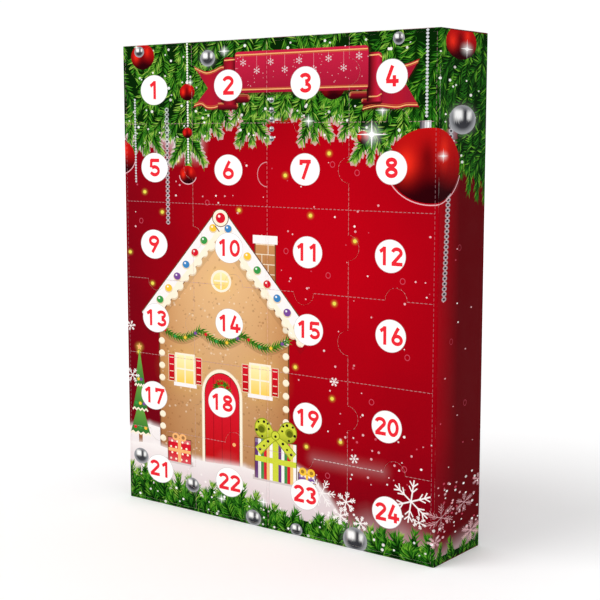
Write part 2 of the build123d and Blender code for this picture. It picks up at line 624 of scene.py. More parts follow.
def cookie_tree(foot, top, half_width):
    """A fir-shaped biscuit in three tiers with icing and sugar pearls."""
    draw_panel(foot, 2 + 4j, GINGER_DARK)
    for tier in range(3):
        base = foot + (top - foot) * (0.05 + 0.27 * tier)
        crown = base + (top - foot) * 0.42
        reach = half_width * (1 - 0.25 * tier)
        edge = [base + reach * (k / 4 - 1) + (1.6j if k % 2 else 0) for k in range(9)]
        draw(edge + [crown], rise_colour(TREE_DARK, TREE_LIGHT, base.imag, crown.imag))
        draw_line(edge, 1.5, CREAM)
        for k in range(3 - tier // 2):
            place = base + reach * (k - 1 + tier // 2 * 0.5) * 0.5 + 5.5j
            draw_round(place, 1.3, CANDY_TONES[(k + tier) % len(CANDY_TONES)], steps=10)
    star = top + 2j
    draw_glow(star, 5, GLOW, 0.8)
    draw([star + polar(1.4 if point % 2 else 3.2, 90 + 36 * point) for point in range(10)], GOLD)


def dotted_bow(centre, size):
    """A bow of yellow-green ribbon with black dots."""
    shine = rise_colour(BOW_SHADE, BOW, centre.imag - 0.35 * size, centre.imag + 0.2 * size)
    for side in (-1, 1):

        def placed(steps):
            return [centre + size * stretched(step, side) for step in steps]

        tail = smooth(placed((0j, 0.45 - 0.35j, 0.95 - 0.8j)))
        for width, end_width, tone in ((0.34, 0.46, BOW_SHADE), (0.26, 0.38, BOW)):
            draw_line(tail, size * width, tone, end_width=size * end_width)
        for radius, tone in ((0.46, BOW_SHADE), (0.41, shine)):
            draw(placed([0j] + arc(0.68 + 0.22j, radius, 253, 501, 14)), tone)
        inside = placed((0.74 + 0.2j, 0.76 + 0.17j))
        draw_round(inside[0], size * 0.19, BOW_SHADE, steps=14)
        draw_round(inside[1], size * 0.14, BOW_DEEP, steps=14)
        for number, place in enumerate(placed(BOW_DOTS)):
            draw_round(place, size * (0.065 if number % 2 else 0.05), BLACK, steps=8)
    draw_rounds(centre, ((0, 0.21, BOW_SHADE, 14), (0, 0.17, BOW, 14), (-0.04j, 0.06, BLACK, 8)), size)


def parcel(low, high, tones, dot, ribbon):
    """A parcel in one tone or in upright stripes, with or without dots, tied with a ribbon."""
    across, up = spans(low, high)
    draw(box(low - 2.5 - 1.5j, low + across + 2.5 + 2j), GINGER_LINE, 0.3)
    draw(box(low - 0.7, high + 0.7 + 0.7j), GINGER_LINE)
    count = 14 if len(tones) > 1 else 1
    for number in range(count):
        left = low + across * number / count
        draw(box(left, left + across / count + up), tones[number % len(tones)])
    for row in range(4 if dot else 0):
        for column in range(4):
            place = low + across * (column + 0.5 + 0.25 * (row % 2)) / 4.3 + up * (row + 0.5) / 4
            draw_round(place, 0.9, dot, steps=8)
    draw(box(low, low + across * 0.12 + up), BLACK, 0.18)
    draw(box(high - across - 3j, high), WHITE, 0.15)
    draw_line([low + across / 2, high - across / 2], across * 0.14, ribbon)
    draw_line([low + up / 2, high - up / 2], across * 0.11, ribbon)


def small_bow(centre, ribbon):
    for side in (-1, 1):
        draw_rounds(centre, ((side * 3.6, 3.0, ribbon, 14), (side * 3.9, 1.4, GINGER_LINE, 10, 0.7)))


def snow_bank(*shares):
    """A hill of snow under a soft crest."""
    crest = smooth([on_front(*share) for share in shares])
    foot, top = on_front(0, 0.99).imag, limits(crest)[1].imag
    for a, b in zip(crest[::5], crest[5::5]):
        draw_haze(a, b, 5, SNOW, 0.7)
    ends = [complex(crest[end].real, foot) for end in (0, -1)]
    draw([ends[0], *crest, ends[1]], rise_colour(SNOW_SHADE, SNOW, foot, top))


def chimney(low, high):
    """A brick chimney with snow on it."""
    across, up = spans(low, high)
    draw(box(low - 1, high + 1), GINGER_LINE)
    draw(box(low, high), rise_colour(GINGER_DARK, GINGER, low.imag, high.imag))
    for course in range(6):
        start = low + up * (course + 0.5) / 6
        joint = start + across * (0.33 if course % 2 else 0.66)
        draw_line([start, start + across], 0.7, CREAM, 0.7)
        draw_line([joint, joint + up / 6], 0.7, CREAM, 0.7)
    draw_line([high - across - 2.5, high + 2.5], 6, SNOW)


def house_wall(low, high, peak, chance):
    """The baked wall and gable, with pits and grains, and a row of icing pearls up each side."""
    across, up = spans(low, high)

    def wall_colour(place):
        aside = abs(place.real - peak.real) / (across / 2)
        rise = (place.imag - low.imag) / (peak.imag - low.imag)
        return blend(blend(GINGER_LIGHT, GINGER, aside**2), GINGER_DARK, 0.65 - 0.9 * rise + 0.2 * aside**6)

    draw([low, low + across, high, peak, low + up], wall_colour)
    for strip in range(7):
        left = low + across * (strip + 0.5) / 7
        draw(box(left, left + 1 + up), None, 0)
    for _ in range(900):
        place = somewhere(chance, low, complex(high.real, peak.imag))
        roof = peak.imag - (peak - high).imag * abs(place.real - peak.real) / (across / 2)
        if place.imag < roof - 6:
            tone, cover = chance.choice(((GINGER_DARK, 0.4), (CREAM, 0.35), (GINGER_LINE, 0.3)))
            draw_round(place, chance.uniform(0.3, 1.0), tone, cover, steps=6)
    for foot, inward in ((low, 2.5), (low + across, -2.5)):
        draw_line([foot, foot + up], 1.1, GINGER_LINE)
        for pearl in range(12):
            place = foot + inward + up * (pearl + 0.5) / 12
            draw_rounds(place, ((-0.4j, 2.6, CREAM_SHADE, 12), (0, 2.3, CREAM, 12)))


def house_door(foot, top, half, chance):
    """A red plank door with a round head, a frame of icing, a wreath and a knob."""
    frames = ((3.4, CREAM_SHADE), (2.8, CREAM), (0.6, GINGER_LINE), (0, red_wood(foot.imag, top.imag)))
    for grow, tone in frames:
        draw([foot - half - grow, foot + half + grow] + arc(top, half + grow, 0, 180, 16), tone)
    for share in (-0.5, 0.0, 0.5):
        draw_line([foot + half * share, top + half * share + 0.8j * half], 0.6, BAUBLE_DARK, 0.45)
    wreath(arc(top + 3j, 6.5, 90, 450, 26), 4.5, chance, (BAUBLE_RED,))
    draw_round(foot + half * 0.7 + 19j, 1.4, GOLD, steps=10)


def gingerbread_house(chance):
    """A house of gingerbread with an iced roof, lit windows, shutters and a red door."""
    peak, wall_low, wall_high = on_front(0.345, 0.372), on_front(0.122, 0.890), on_front(0.568, 0.565)
    chimney(on_front(0.462, 0.520), on_front(0.524, 0.400))
    house_wall(wall_low, wall_high, peak, chance)
    for u in (0.215, 0.475):
        lit_window(on_front(u, 0.690))
    for left in (0.125, 0.272, 0.419):
        drops = (0.022 * math.sin(math.pi * step / 16) for step in range(17))
        swag = [on_front(left + 0.147 * step / 16, 0.600 + drop) for step, drop in enumerate(drops)]
        draw_line([place - 2.5j for place in swag], 5, GINGER_LINE, 0.3)
        wreath(swag, 6, chance, CANDY_TONES)
    attic = on_front(0.345, 0.492)
    draw_glow(attic, 17, WINDOW_LIGHT, 0.5)
    draw_rounds(attic, ((0, 8.2, CREAM, 24), (0, 6.4, glass_colour(attic, 7), 24)))
    draw_bars(attic, 6.5, 6)
    house_door(complex(peak.real, wall_low.imag), on_front(0.345, 0.735), 16.5, chance)
    for first, eave in ((0, on_front(0.075, 0.598)), (2, on_front(0.615, 0.598))):
        for width, tone in ((15, GINGER_LINE), (13.4, SNOW)):
            draw_line([eave + 3j, peak + 3j], width, tone)
        iced_edge(eave - 3j, peak - 5j)
        for k in range(8):
            sweet = CANDY_TONES[(k + first) % len(CANDY_TONES)]
            place = eave + (peak - eave) * (k + 0.6) / 8.4 + 4j
            shine = (-0.9 + 0.9j, 0.8, WHITE, 8, 0.85)
            draw_rounds(place, ((-0.5j, 3.3, CREAM_SHADE, 14), (0, 2.8, sweet, 14), shine))
    draw_rounds(peak + 4j, ((0, 6.6, GINGER_LINE, 20), (0, 6.0, CREAM, 20), (0, 3.8, CANDY_TONES[0], 20),
                            (-1.2 + 1.2j, 1.0, WHITE, 8, 0.9)))


def garden():
    """Snow, the house, a tree and parcels."""
    snow_bank((0.0, 0.838), (0.08, 0.826), (0.20, 0.838), (0.40, 0.850), (0.54, 0.845), (0.63, 0.868),
              (0.69, 0.905), (0.75, 0.960))
    cookie_tree(on_front(0.045, 0.862), on_front(0.045, 0.660), 11)
    gingerbread_house(random.Random(17))
    snow_bank((0.0, 0.874), (0.10, 0.868), (0.26, 0.884), (0.42, 0.880), (0.52, 0.890), (0.60, 0.910),
              (0.68, 0.960))
    parcel(on_front(0.458, 0.896), on_front(0.592, 0.812), STRIPE_TONES, None, BOW)
    dotted_bow(on_front(0.525, 0.800), 17)
    parcel(on_front(0.150, 0.898), on_front(0.232, 0.846), CANDY_TONES[:1], CREAM, GOLD)
    small_bow(on_front(0.191, 0.842), GOLD)
    parcel(on_front(0.600, 0.907), on_front(0.652, 0.868), CANDY_TONES[3:4], CREAM, CANDY_TONES[2])
    small_bow(on_front(0.626, 0.864), CANDY_TONES[2])


# Fir branches: the shares of each root, then of its tip

TOP_SPRIG_SHARES = (
    (0.05, 0.02, 0.02, 0.215), (0.10, 0.05, 0.085, 0.226), (0.20, 0.04, 0.150, 0.190),
    (0.23, 0.08, 0.235, 0.248), (0.30, 0.06, 0.300, 0.190), (0.36, 0.04, 0.335, 0.165),
    (0.44, 0.06, 0.452, 0.203), (0.50, 0.05, 0.490, 0.150), (0.55, 0.05, 0.560, 0.146),
    (0.63, 0.05, 0.648, 0.196), (0.70, 0.06, 0.715, 0.160), (0.76, 0.06, 0.768, 0.188),
    (0.83, 0.07, 0.812, 0.236), (0.90, 0.07, 0.905, 0.206), (0.97, 0.05, 0.965, 0.190),
)
BOTTOM_SPRIG_SHARES = (
    (0.01, 0.99, 0.008, 0.925), (0.06, 0.98, 0.060, 0.9151), (0.12, 0.99, 0.125, 0.922),
    (0.19, 0.99, 0.185, 0.930), (0.25, 0.99, 0.225, 0.932), (0.30, 0.99, 0.310, 0.935),
    (0.36, 0.98, 0.365, 0.908), (0.40, 0.99, 0.415, 0.922), (0.45, 0.99, 0.462, 0.935),
    (0.51, 0.99, 0.520, 0.952), (0.58, 1.00, 0.585, 0.968), (0.66, 1.00, 0.665, 0.955),
    (0.70, 0.99, 0.712, 0.950), (0.76, 1.01, 0.755, 0.976), (0.83, 1.00, 0.820, 0.955),
    (0.89, 0.99, 0.905, 0.955), (0.97, 1.00, 0.965, 0.972),
)
TOP_BACK_SHARES = (
    (0.03, 0.08, 0.045, 0.185), (0.12, 0.08, 0.125, 0.215), (0.18, 0.06, 0.195, 0.170),
    (0.27, 0.06, 0.268, 0.205), (0.39, 0.06, 0.385, 0.130), (0.60, 0.06, 0.605, 0.150),
    (0.74, 0.06, 0.738, 0.155), (0.86, 0.06, 0.862, 0.205), (0.94, 0.05, 0.940, 0.1599),
)
TOP_HAZE_SHARES = ((0.155, 0.130, 0.160, 0.200), (0.175, 0.150, 0.195, 0.225), (0.275, 0.150, 0.262, 0.225))
SIDE_SPRIG_SHARES = (
    (-0.30, 0.02, -0.33, 0.168), (-0.12, 0.03, -0.10, 0.172), (0.10, 0.06, 0.10, 0.175),
    (0.10, 0.00, 0.04, 0.150), (0.35, 0.00, 0.22, 0.150), (0.62, 0.02, 0.42, 0.170),
    (0.90, 0.02, 0.80, 0.160), (0.60, 0.09, 0.46, 0.210), (0.75, 0.10, 0.68, 0.230),
    (1.00, 0.08, 0.95, 0.230), (0.62, 0.16, 0.46, 0.262), (0.72, 0.17, 0.62, 0.292),
    (0.86, 0.18, 0.80, 0.305), (1.02, 0.18, 0.97, 0.312),
)
SIDE_SHADOW_SHARES = ((-0.3, 0.0), (-0.3, 0.18), (0.42, 0.18), (0.55, 0.25), (1.0, 0.27), (1.0, 0.0))
LEFT_SPRIG_SHARES = ((-0.03, 0.00, -0.035, 0.205), (-0.06, 0.03, -0.075, 0.160), (-0.11, 0.00, -0.115, 0.125))


def branches(shares, chance, tones, place_on=on_front, **more):
    for row in shares:
        branch(place_on(*row[:2]), place_on(*row[2:]), chance, tones, **more)


def hazes(shares, radius, most):
    for row in shares:
        draw_haze(on_front(*row[:2]), on_front(*row[2:]), radius, FROST, most)


def scattered_sprigs(chance, count, low, high, heading, tones, reach):
    """Sprigs in an uneven row or two across a part of the blank, all much the same way."""
    for number in range(count):
        x = low.real + (high.real - low.real) * (number + chance.random()) / count
        root = complex(x, chance.uniform(low.imag, high.imag))
        angle = heading + chance.uniform(-42, 42)
        sprig(root, root + polar(reach * chance.uniform(0.75, 1.2), angle), chance, tones)


def evenly(start, end, step):
    """The middles of even parts of about that length."""
    count = round((end - start) / step)
    return [start + (end - start) * (number + 0.5) / count for number in range(count)]


def fir_top():
    """The hanging fir branches over the top rows, from the dark ones behind to the light ones in front."""
    chance = random.Random(11)
    hazes(TOP_HAZE_SHARES, 12, 0.8)
    start, rime = len(artwork), []
    draw(box(on_front(0, 0.115), on_front(1, 0)), FIR_SHADOW)
    scattered_sprigs(chance, 24, on_front(0.0, 0.12), on_front(1.0, 0.05), -90, FIR_TONES[:2], 20)
    branches(TOP_BACK_SHARES, chance, FIR_TONES[:3])
    scattered_sprigs(chance, 30, on_front(0.0, 0.08), on_front(1.0, 0.01), -90, FIR_TONES[:3], 20)
    branches(TOP_SPRIG_SHARES, chance, FIR_TONES[1:], twigs=2, rime=rime)
    artwork[start:start] = [Shape(outline, SNOW, 0.4) for outline in rime]
    scattered_sprigs(chance, 26, on_front(0.0, 0.075), on_front(1.0, 0.03), -90, FIR_TONES[1:4], 19)
    scattered_sprigs(chance, 30, on_front(-0.02, 0.005), on_front(1.02, -0.035), -90, FIR_TONES[1:], 22)
    draw(box(on_front(-0.02, -0.004), on_front(1.02, -0.030)), FIR_SHADOW)
    scattered_sprigs(chance, 26, on_front(0.0, -0.004), on_front(1.0, -0.012), 90, FIR_TONES[:3], 16)
    snow_dots(chance, 130, on_front(0.0, 0.20), on_front(1.0, 0.005), 0.55, 1.1, (WHITE, SNOW))


def fir_side():
    """Fir on the right side panel, in deeper tones, and a plainer hem round the left side and back."""
    chance = random.Random(12)
    draw_haze(on_side(0.24, 0.13), on_side(0.26, 0.27), 11, SILVER_HAZE, 1.0)
    draw([on_side(*share) for share in SIDE_SHADOW_SHARES], FIR_SHADOW)
    scattered_sprigs(chance, 12, on_side(-0.3, 0.12), on_side(1.0, 0.03), -90, FIR_TONES[:3], 20)
    branches(SIDE_SPRIG_SHARES, chance, DEEP_FIR_TONES, on_side)
    scattered_sprigs(chance, 7, on_side(0.0, 0.005), on_side(1.05, -0.035), -90, FIR_TONES[1:4], 22)
    snow_dots(chance, 20, on_side(0.0, 0.25), on_side(1.0, 0.01), 0.5, 1.0, (WHITE, SNOW))
    branches(LEFT_SPRIG_SHARES, chance, FIR_TONES[:4])
    for start, end in ((-DEPTH, 0.0), (BACK_START, BLANK_END)):
        draw(box(complex(start, HEIGHT * 0.955), complex(end, HEIGHT)), FIR_SHADOW)
        for x in evenly(start, end, 13):
            drop = chance.uniform(18, 34)
            tip = complex(x + chance.uniform(-8, 8), HEIGHT - drop)
            sprig(complex(x, HEIGHT + 4), tip, chance, FIR_TONES[:4])


def fir_bottom():
    """The fir that stands along the bottom edge, all the way round, in a haze of snow."""
    chance = random.Random(13)
    hazes(BOTTOM_SPRIG_SHARES, 22, 0.5)
    draw_haze(on_side(0.0, 0.99), on_side(1.0, 0.97), 14, FROST, 0.5)
    draw(box(on_front(0, 1.0), on_front(1, 0.965)), FIR_SHADOW)
    branches(BOTTOM_SPRIG_SHARES, chance, FIR_TONES[1:])
    scattered_sprigs(chance, 30, on_front(0.0, 1.0), on_front(1.0, 0.985), 90, FIR_TONES[:3], 14)
    scattered_sprigs(chance, 32, on_front(-0.01, 1.035), on_front(1.01, 1.0), 90, FIR_TONES[:4], 16)
    draw(box(on_front(-0.02, 1.030), on_front(1.02, 1.003)), FIR_SHADOW)
    for start, end in ((-DEPTH, 0.0), (WIDTH, BACK_START), (BACK_START, BLANK_END)):
        draw(box(complex(start, 0), complex(end, HEIGHT * 0.016)), FIR_SHADOW)
        for x in evenly(start, end, 10):
            tip = complex(x + chance.uniform(-6, 6), chance.uniform(8, 15))
            sprig(complex(x, -4), tip, chance, FIR_TONES[:4], length=8)
    snow_dots(chance, 70, on_front(0.0, 0.995), on_front(1.0, 0.91), 0.55, 1.15, (WHITE, SNOW))


# Baubles, chains and sparkles: shares, then a radius in millimetres. Flakes have a width and a turn as well

RED_BAUBLE_SHARES = (
    (0.0745, 0.0245, 9.5), (0.234, 0.102, 6.0), (0.233, 0.186, 3.9), (0.233, 0.273, 6.6, True),
    (-0.018, 0.237, 12.8, True), (0.702, 0.098, 9.0), (0.790, 0.195, 4.2), (0.975, 0.2465, 24.0, True),
)
SILVER_BAUBLE_SHARES = (
    (0.515, 0.122, 1.9), (0.515, 0.141, 1.9), (0.515, 0.160, 1.9), (0.515, 0.179, 1.9), (0.515, 0.198, 1.9),
    (0.306, 0.0345, 5.8), (0.888, 0.0155, 4.1), (0.062, 0.014, 4.0), (0.046, 0.901, 6.2), (0.238, 0.942, 5.6),
    (0.451, 0.984, 6.0), (0.592, 0.988, 4.6), (0.774, 0.981, 9.0),
)
SPARKLE_SHARES = (
    (1.017, 0.229, 6), (0.815, 0.190, 13), (0.630, 0.164, 6), (0.845, 0.145, 6), (0.362, 0.022, 6),
    (0.341, 0.9585, 5), (0.484, 0.945, 6), (0.052, 0.004, 3), (0.245, 0.082, 4),
)
CAP_SHARES = ((0.9465, 0.184), (0.9775, 0.165))
FRONT_FLAKE_SHARES = (
    (0.935, 0.880, 15, 1.1, 22), (0.672, 0.900, 10.5, 0.8, 5), (0.746, 0.908, 7.5, 0.9, 20),
    (0.709, 0.671, 3.2, 0.5, 0), (0.770, 0.818, 3.4, 0.5, 10), (0.730, 0.938, 6.5, 0.9, 25),
    (0.790, 0.945, 5.5, 0.8, 12), (0.958, 0.918, 4.5, 0.6, 40), (0.017, 0.720, 6.0, 0.7, 0),
    (0.013, 0.609, 4.0, 0.6, 12),
)
SIDE_FLAKE_SHARES = (
    (0.14, 0.908, 9.5, 0.5, 30), (0.64, 0.897, 6.5, 0.5, 30), (0.80, 0.960, 7.5, 0.8, 30),
    (0.95, 0.862, 4.5, 0.5, 30), (0.02, 0.952, 4.0, 0.5, 10),
)


def ornaments():
    """Baubles and bead chains, from the small ones in the fir to the large one that wraps the corner."""
    bead_chain(on_front(0.043, 0.112), on_front(0.043, 0.293), 0.8, 2.0)
    bead_chain(on_front(0.160, 0.133), on_front(0.160, 0.380), 1.7, 3.3, SILVER, SILVER_DARK)
    bead_chain(on_front(0.235, 0.0), on_front(0.235, 0.250), 0.75, 1.9, SNOW)
    bead_chain(on_front(0.965, 0.0), on_front(0.965, 0.160), 0.9, 2.2)
    bead_chain(on_front(1.052, 0.150), on_front(1.028, 0.497), 1.7, 3.3, SILVER, SILVER_DARK)
    low, high = (on_front(*share) for share in CAP_SHARES)
    across, up = spans(low, high)
    draw(box(low, high), ribbon_shade(low.real, high.real, SILVER_DARK, SILVER_HAZE, WHITE, SILVER))
    for rib in range(4):
        foot = low + across * (rib + 0.5) / 4
        draw_line([foot, foot + up], 0.6, SILVER_DARK, 0.6)
    for hang, shares in ((red_bauble, RED_BAUBLE_SHARES), (silver_bauble, SILVER_BAUBLE_SHARES),
                         (sparkle, SPARKLE_SHARES)):
        for u, v, radius, *ring in shares:
            hang(on_front(u, v), radius, *ring)


def side_ornaments():
    """The red and silver balls and the flakes on the right side panel."""
    red_bauble(on_side(0.42, 0.0235), 10.7)
    sparkle(on_side(0.54, 0.034), 8)
    silver_bauble(on_side(0.47, 0.163), 9.4)
    chance = random.Random(14)
    snow_dots(chance, 14, on_side(0.02, 0.82), on_side(0.98, 0.36), 0.35, 0.7)
    snow_dots(chance, 60, on_side(0.02, 0.95), on_side(0.98, 0.84), 0.45, 0.9)
    for share in ((0.45, 0.400), (0.30, 0.575), (0.62, 0.700)):
        draw_ring(on_side(*share), 0.4, 0.5)
    for u, v, radius, width, turn in SIDE_FLAKE_SHARES:
        snowflake(on_side(u, v), radius, width, ROSE_WHITE, turn, 0.65, leaves=(0.3, 0.5, 0.7))


def front_flakes():
    """The large and small snowflakes low on the front."""
    for u, v, radius, width, turn in FRONT_FLAKE_SHARES:
        snowflake(on_front(u, v), radius, width, SNOW, turn, 0.95)


def random_flake(chance, place, largest, cover):
    size = chance.uniform(5, largest)
    snowflake(place, size, size * 0.1, ROSE_WHITE, chance.uniform(0, 60), cover)


def back_print():
    """The quiet back panel and left side: red ground with flakes and snow."""
    chance = random.Random(15)
    foot, top = 0.06j * HEIGHT, 0.90j * HEIGHT
    snow_dots(chance, 120, BACK_START + foot, BLANK_END + top, 0.4, 0.95)
    snow_dots(chance, 30, foot - DEPTH, top, 0.4, 0.9)
    for row in range(4):
        for column in range(4):
            share = (column + 0.3 + 0.4 * (row % 2)) / 4
            random_flake(chance, complex(BACK_START + WIDTH * share, HEIGHT * (0.2 + 0.19 * row)), 10, 0.6)


def end_print():
    """Flakes and snow on the top end panel, and a little snow on the bottom one."""
    chance = random.Random(18)
    snow_dots(chance, 110, complex(0, HEIGHT + 0.25 * DEPTH), complex(WIDTH, HEIGHT + DEPTH), 0.4, 0.95)
    snow_dots(chance, 50, complex(0, -DEPTH), complex(WIDTH, -0.2 * DEPTH), 0.4, 0.9)
    for number in range(6):
        rise = DEPTH * (0.55 + 0.2 * (number % 2))
        random_flake(chance, complex(WIDTH * (number + 0.5) / 6, HEIGHT + rise), 8.5, 0.65)


# The bare ribbon banner

TAIL_TONES = (RIBBON, RIBBON_FOOT, RIBBON, RIBBON_FOOT, RIBBON_DARK, RIBBON_SHADE)
LEFT_TAIL_SHARES = (
    ((0.372, 0.052), (0.352, 0.0510), (0.328, 0.0576), (0.302, 0.0610), (0.281, 0.0562), (0.258, 0.0491)),
    ((0.254, 0.1342), (0.283, 0.1300), (0.302, 0.1375), (0.328, 0.1379), (0.358, 0.1320), (0.387, 0.1350),
     (0.402, 0.1400)),
)
RIGHT_TAIL_SHARES = (
    ((0.820, 0.058), (0.850, 0.0600), (0.885, 0.0640), (0.915, 0.0610), (0.945, 0.0540)),
    ((0.945, 0.1407), (0.911, 0.1401), (0.884, 0.1437), (0.838, 0.1405), (0.808, 0.1430), (0.786, 0.1470)),
)
ROLL_SHARES = (
    (0.340, 0.4075, 0.1245, 0.1390, 1), (0.350, 0.4460, 0.1080, 0.1255, 1),
    (0.785, 0.8440, 0.1215, 0.1330, -1), (0.750, 0.8300, 0.1090, 0.1225, -1),
)
LEFT_FOLD_SHARES = ((0.360, 0.130), (0.360, 0.0385), (0.366, 0.0349), (0.402, 0.0350), (0.402, 0.130))
RIGHT_FOLD_SHARES = (
    (0.800, 0.1290), (0.800, 0.0385), (0.834, 0.0385), (0.8405, 0.0410), (0.8430, 0.0460), (0.8440, 0.1240),
    (0.8400, 0.1290),
)
FOLD_GOLD_SHARES = (
    (0.9, 0.9, (0.362, 0.0405), (0.398, 0.0395)),
    (0.9, 0.9, (0.806, 0.0440), (0.834, 0.0430), (0.842, 0.0480)),
    (0.8, 0.8, (0.806, 0.1200), (0.830, 0.1195), (0.842, 0.1150)),
)


def front_path(shares):
    return [on_front(*share) for share in shares]


def ribbon_shade(left, right, *tones):
    """Ribbon colour that runs through several tones from one upright line to another."""

    def colour(place):
        walk = held((place.real - left) / (right - left)) * (len(tones) - 1)
        step = min(int(walk), len(tones) - 2)
        return blend(tones[step], tones[step + 1], walk - step)

    return colour


def gold_lines(path, drop):
    """A bright gold line with a finer, deeper one under or over it, beside an edge of the ribbon."""
    for shift, width, tone in ((drop, 0.75, GOLD), (drop * 1.9, 0.5, GOLD_DEEP)):
        draw_line([place + 1j * shift for place in path], width, tone, 0.95)


def ribbon_tail(shares, notch, corner, last, left_u, right_u, tones):
    """A swallow tail between its top and foot edges, with its shadow and gold lines."""
    top, foot = (smooth(front_path(edge)) for edge in shares)
    outline = top + [on_front(*notch)] + foot + front_path(corner)
    draw([place + 0.6 - 1.2j for place in outline], RIBBON_SHADE, 0.45)
    draw(outline, ribbon_shade(left_u * WIDTH, right_u * WIDTH, *tones))
    gold_lines(top[2:-1], -1.1)
    gold_lines(foot[1:last], 1.3)


def ribbon_roll(left_u, right_u, top, bottom, side):
    """A flat curl of the ribbon under its panel, with a round end on that side and gold lines along it."""
    low, high = on_front(left_u, bottom), on_front(right_u, top)
    across, up = spans(low, high)
    radius = up.imag / 2
    draw(rounded_box(low - 0.4 - 0.5j, high, radius), RIBBON_SHADE, 0.8)
    draw(rounded_box(low, high, radius * 0.95), rise_colour(RIBBON_SHADE, RIBBON, low.imag, high.imag))
    middle = (low + high) / 2 + side * (across / 2 - radius)
    for share, tone in ((0.78, GOLD), (0.45, GOLD_DEEP)):
        turn = arc(middle, radius * share, 90, 90 - 180 * side, 8)
        far = turn[0] - side * (across - radius)
        draw_line([far] + turn[:6], 0.55, tone, 0.8)


def ribbon_panel(low, high):
    """The main panel of the ribbon, with hanging flakes and fine snow in place of words."""
    across = spans(low, high)[0]
    for grow, cover in ((1.6, 0.22), (0.7, 0.35)):
        shadow_low = low + 0.3 - 0.9j - grow * (1 + 1j)
        draw(rounded_box(shadow_low, high + 0.6 + grow, 3), RIBBON_SHADE, cover)
    draw(rounded_box(low, high, 2.6), rise_colour(RIBBON_FOOT, RIBBON_LIGHT, low.imag, high.imag))
    gold_lines([high - across + 0.6 - 1.2j, high - 0.6 - 1.2j], -1.0)
    gold_lines([low + 0.6 + 1.2j, low + across - 0.6 + 1.2j], 1.0)
    chance = random.Random(16)
    for number in range(9):
        top = high - across + across * (number + 0.6) / 9.2
        flake = top - 1j * (6.5 + 5.5 * (number % 2) + chance.uniform(0, 3))
        draw_line([top - 3j, flake + 2j], 0.3, ROSE_WHITE, 0.5)
        snowflake(flake, 2.5, 0.5, FROST, 30, 0.75, leaves=(0.6,))
    for _ in range(60):
        place = somewhere(chance, low + 3j, high - 3j)
        draw_round(place, chance.uniform(0.2, 0.45), ROSE_WHITE, 0.6, steps=7)


def ribbon_banner():
    """A hanging ribbon: main panel, two folds with their curls and two swallow tails, edged with gold."""
    ribbon_tail(LEFT_TAIL_SHARES, (0.306, 0.0951), (), None, 0.250, 0.405, TAIL_TONES)
    ribbon_tail(RIGHT_TAIL_SHARES, (0.907, 0.097), ((0.792, 0.128),), -1, 0.785, 0.950, TAIL_TONES[::-1])
    for roll in ROLL_SHARES:
        ribbon_roll(*roll)
    fold_shade = ribbon_shade(0.360 * WIDTH, 0.402 * WIDTH, RIBBON_DARK, RIBBON, RIBBON_SHADE)
    draw(front_path(LEFT_FOLD_SHARES), fold_shade)
    draw(front_path(RIGHT_FOLD_SHARES), ribbon_shade(0.803 * WIDTH, 0.844 * WIDTH, RIBBON_SHADE, RIBBON_DARK,
                                                     RIBBON, RIBBON_LIGHT, RIBBON_DARK))
    for width, cover, *path in FOLD_GOLD_SHARES:
        draw_line(front_path(path), width, GOLD, cover)
    ribbon_panel(on_front(0.3975, 0.1068), on_front(0.8045, 0.0250))


# Number discs

DISC_RADIUS = 10.8
SINGLE_HEIGHT = 13.4
DOUBLE_HEIGHT = 12.4
STROKE_SHARE = 0.20
DIGIT_WIDTH_SHARE = 0.76
DIGIT_GAP_SHARE = 0.10
DISC_SHARES = (
    (0.115, 0.0955), (0.374, 0.0905), (0.620, 0.0905), (0.870, 0.0835),
    (0.113, 0.2595), (0.373, 0.2615), (0.619, 0.2575), (0.871, 0.2515),
    (0.107, 0.4245), (0.373, 0.4215), (0.627, 0.4195), (0.870, 0.4165),
    (0.110, 0.5855), (0.372, 0.5795), (0.630, 0.5735), (0.873, 0.5675),
    (0.099, 0.7585), (0.345, 0.7495), (0.627, 0.7525), (0.864, 0.7435),
    (0.118, 0.9215), (0.369, 0.9185), (0.619, 0.9105), (0.867, 0.9115),
)


def oval(centre, across, up, start, end, steps=18):
    """Points on a part of an oval, for the strokes of the numerals."""
    return [centre + stretched(step, across, up) for step in arc(0, 1, start, end, steps)]


def whole_oval(centre, across, up):
    """A closed oval stroke as two halves that lap at their ends."""
    return [oval(centre, across, up, -6, 186), oval(centre, across, up, 174, 366)]


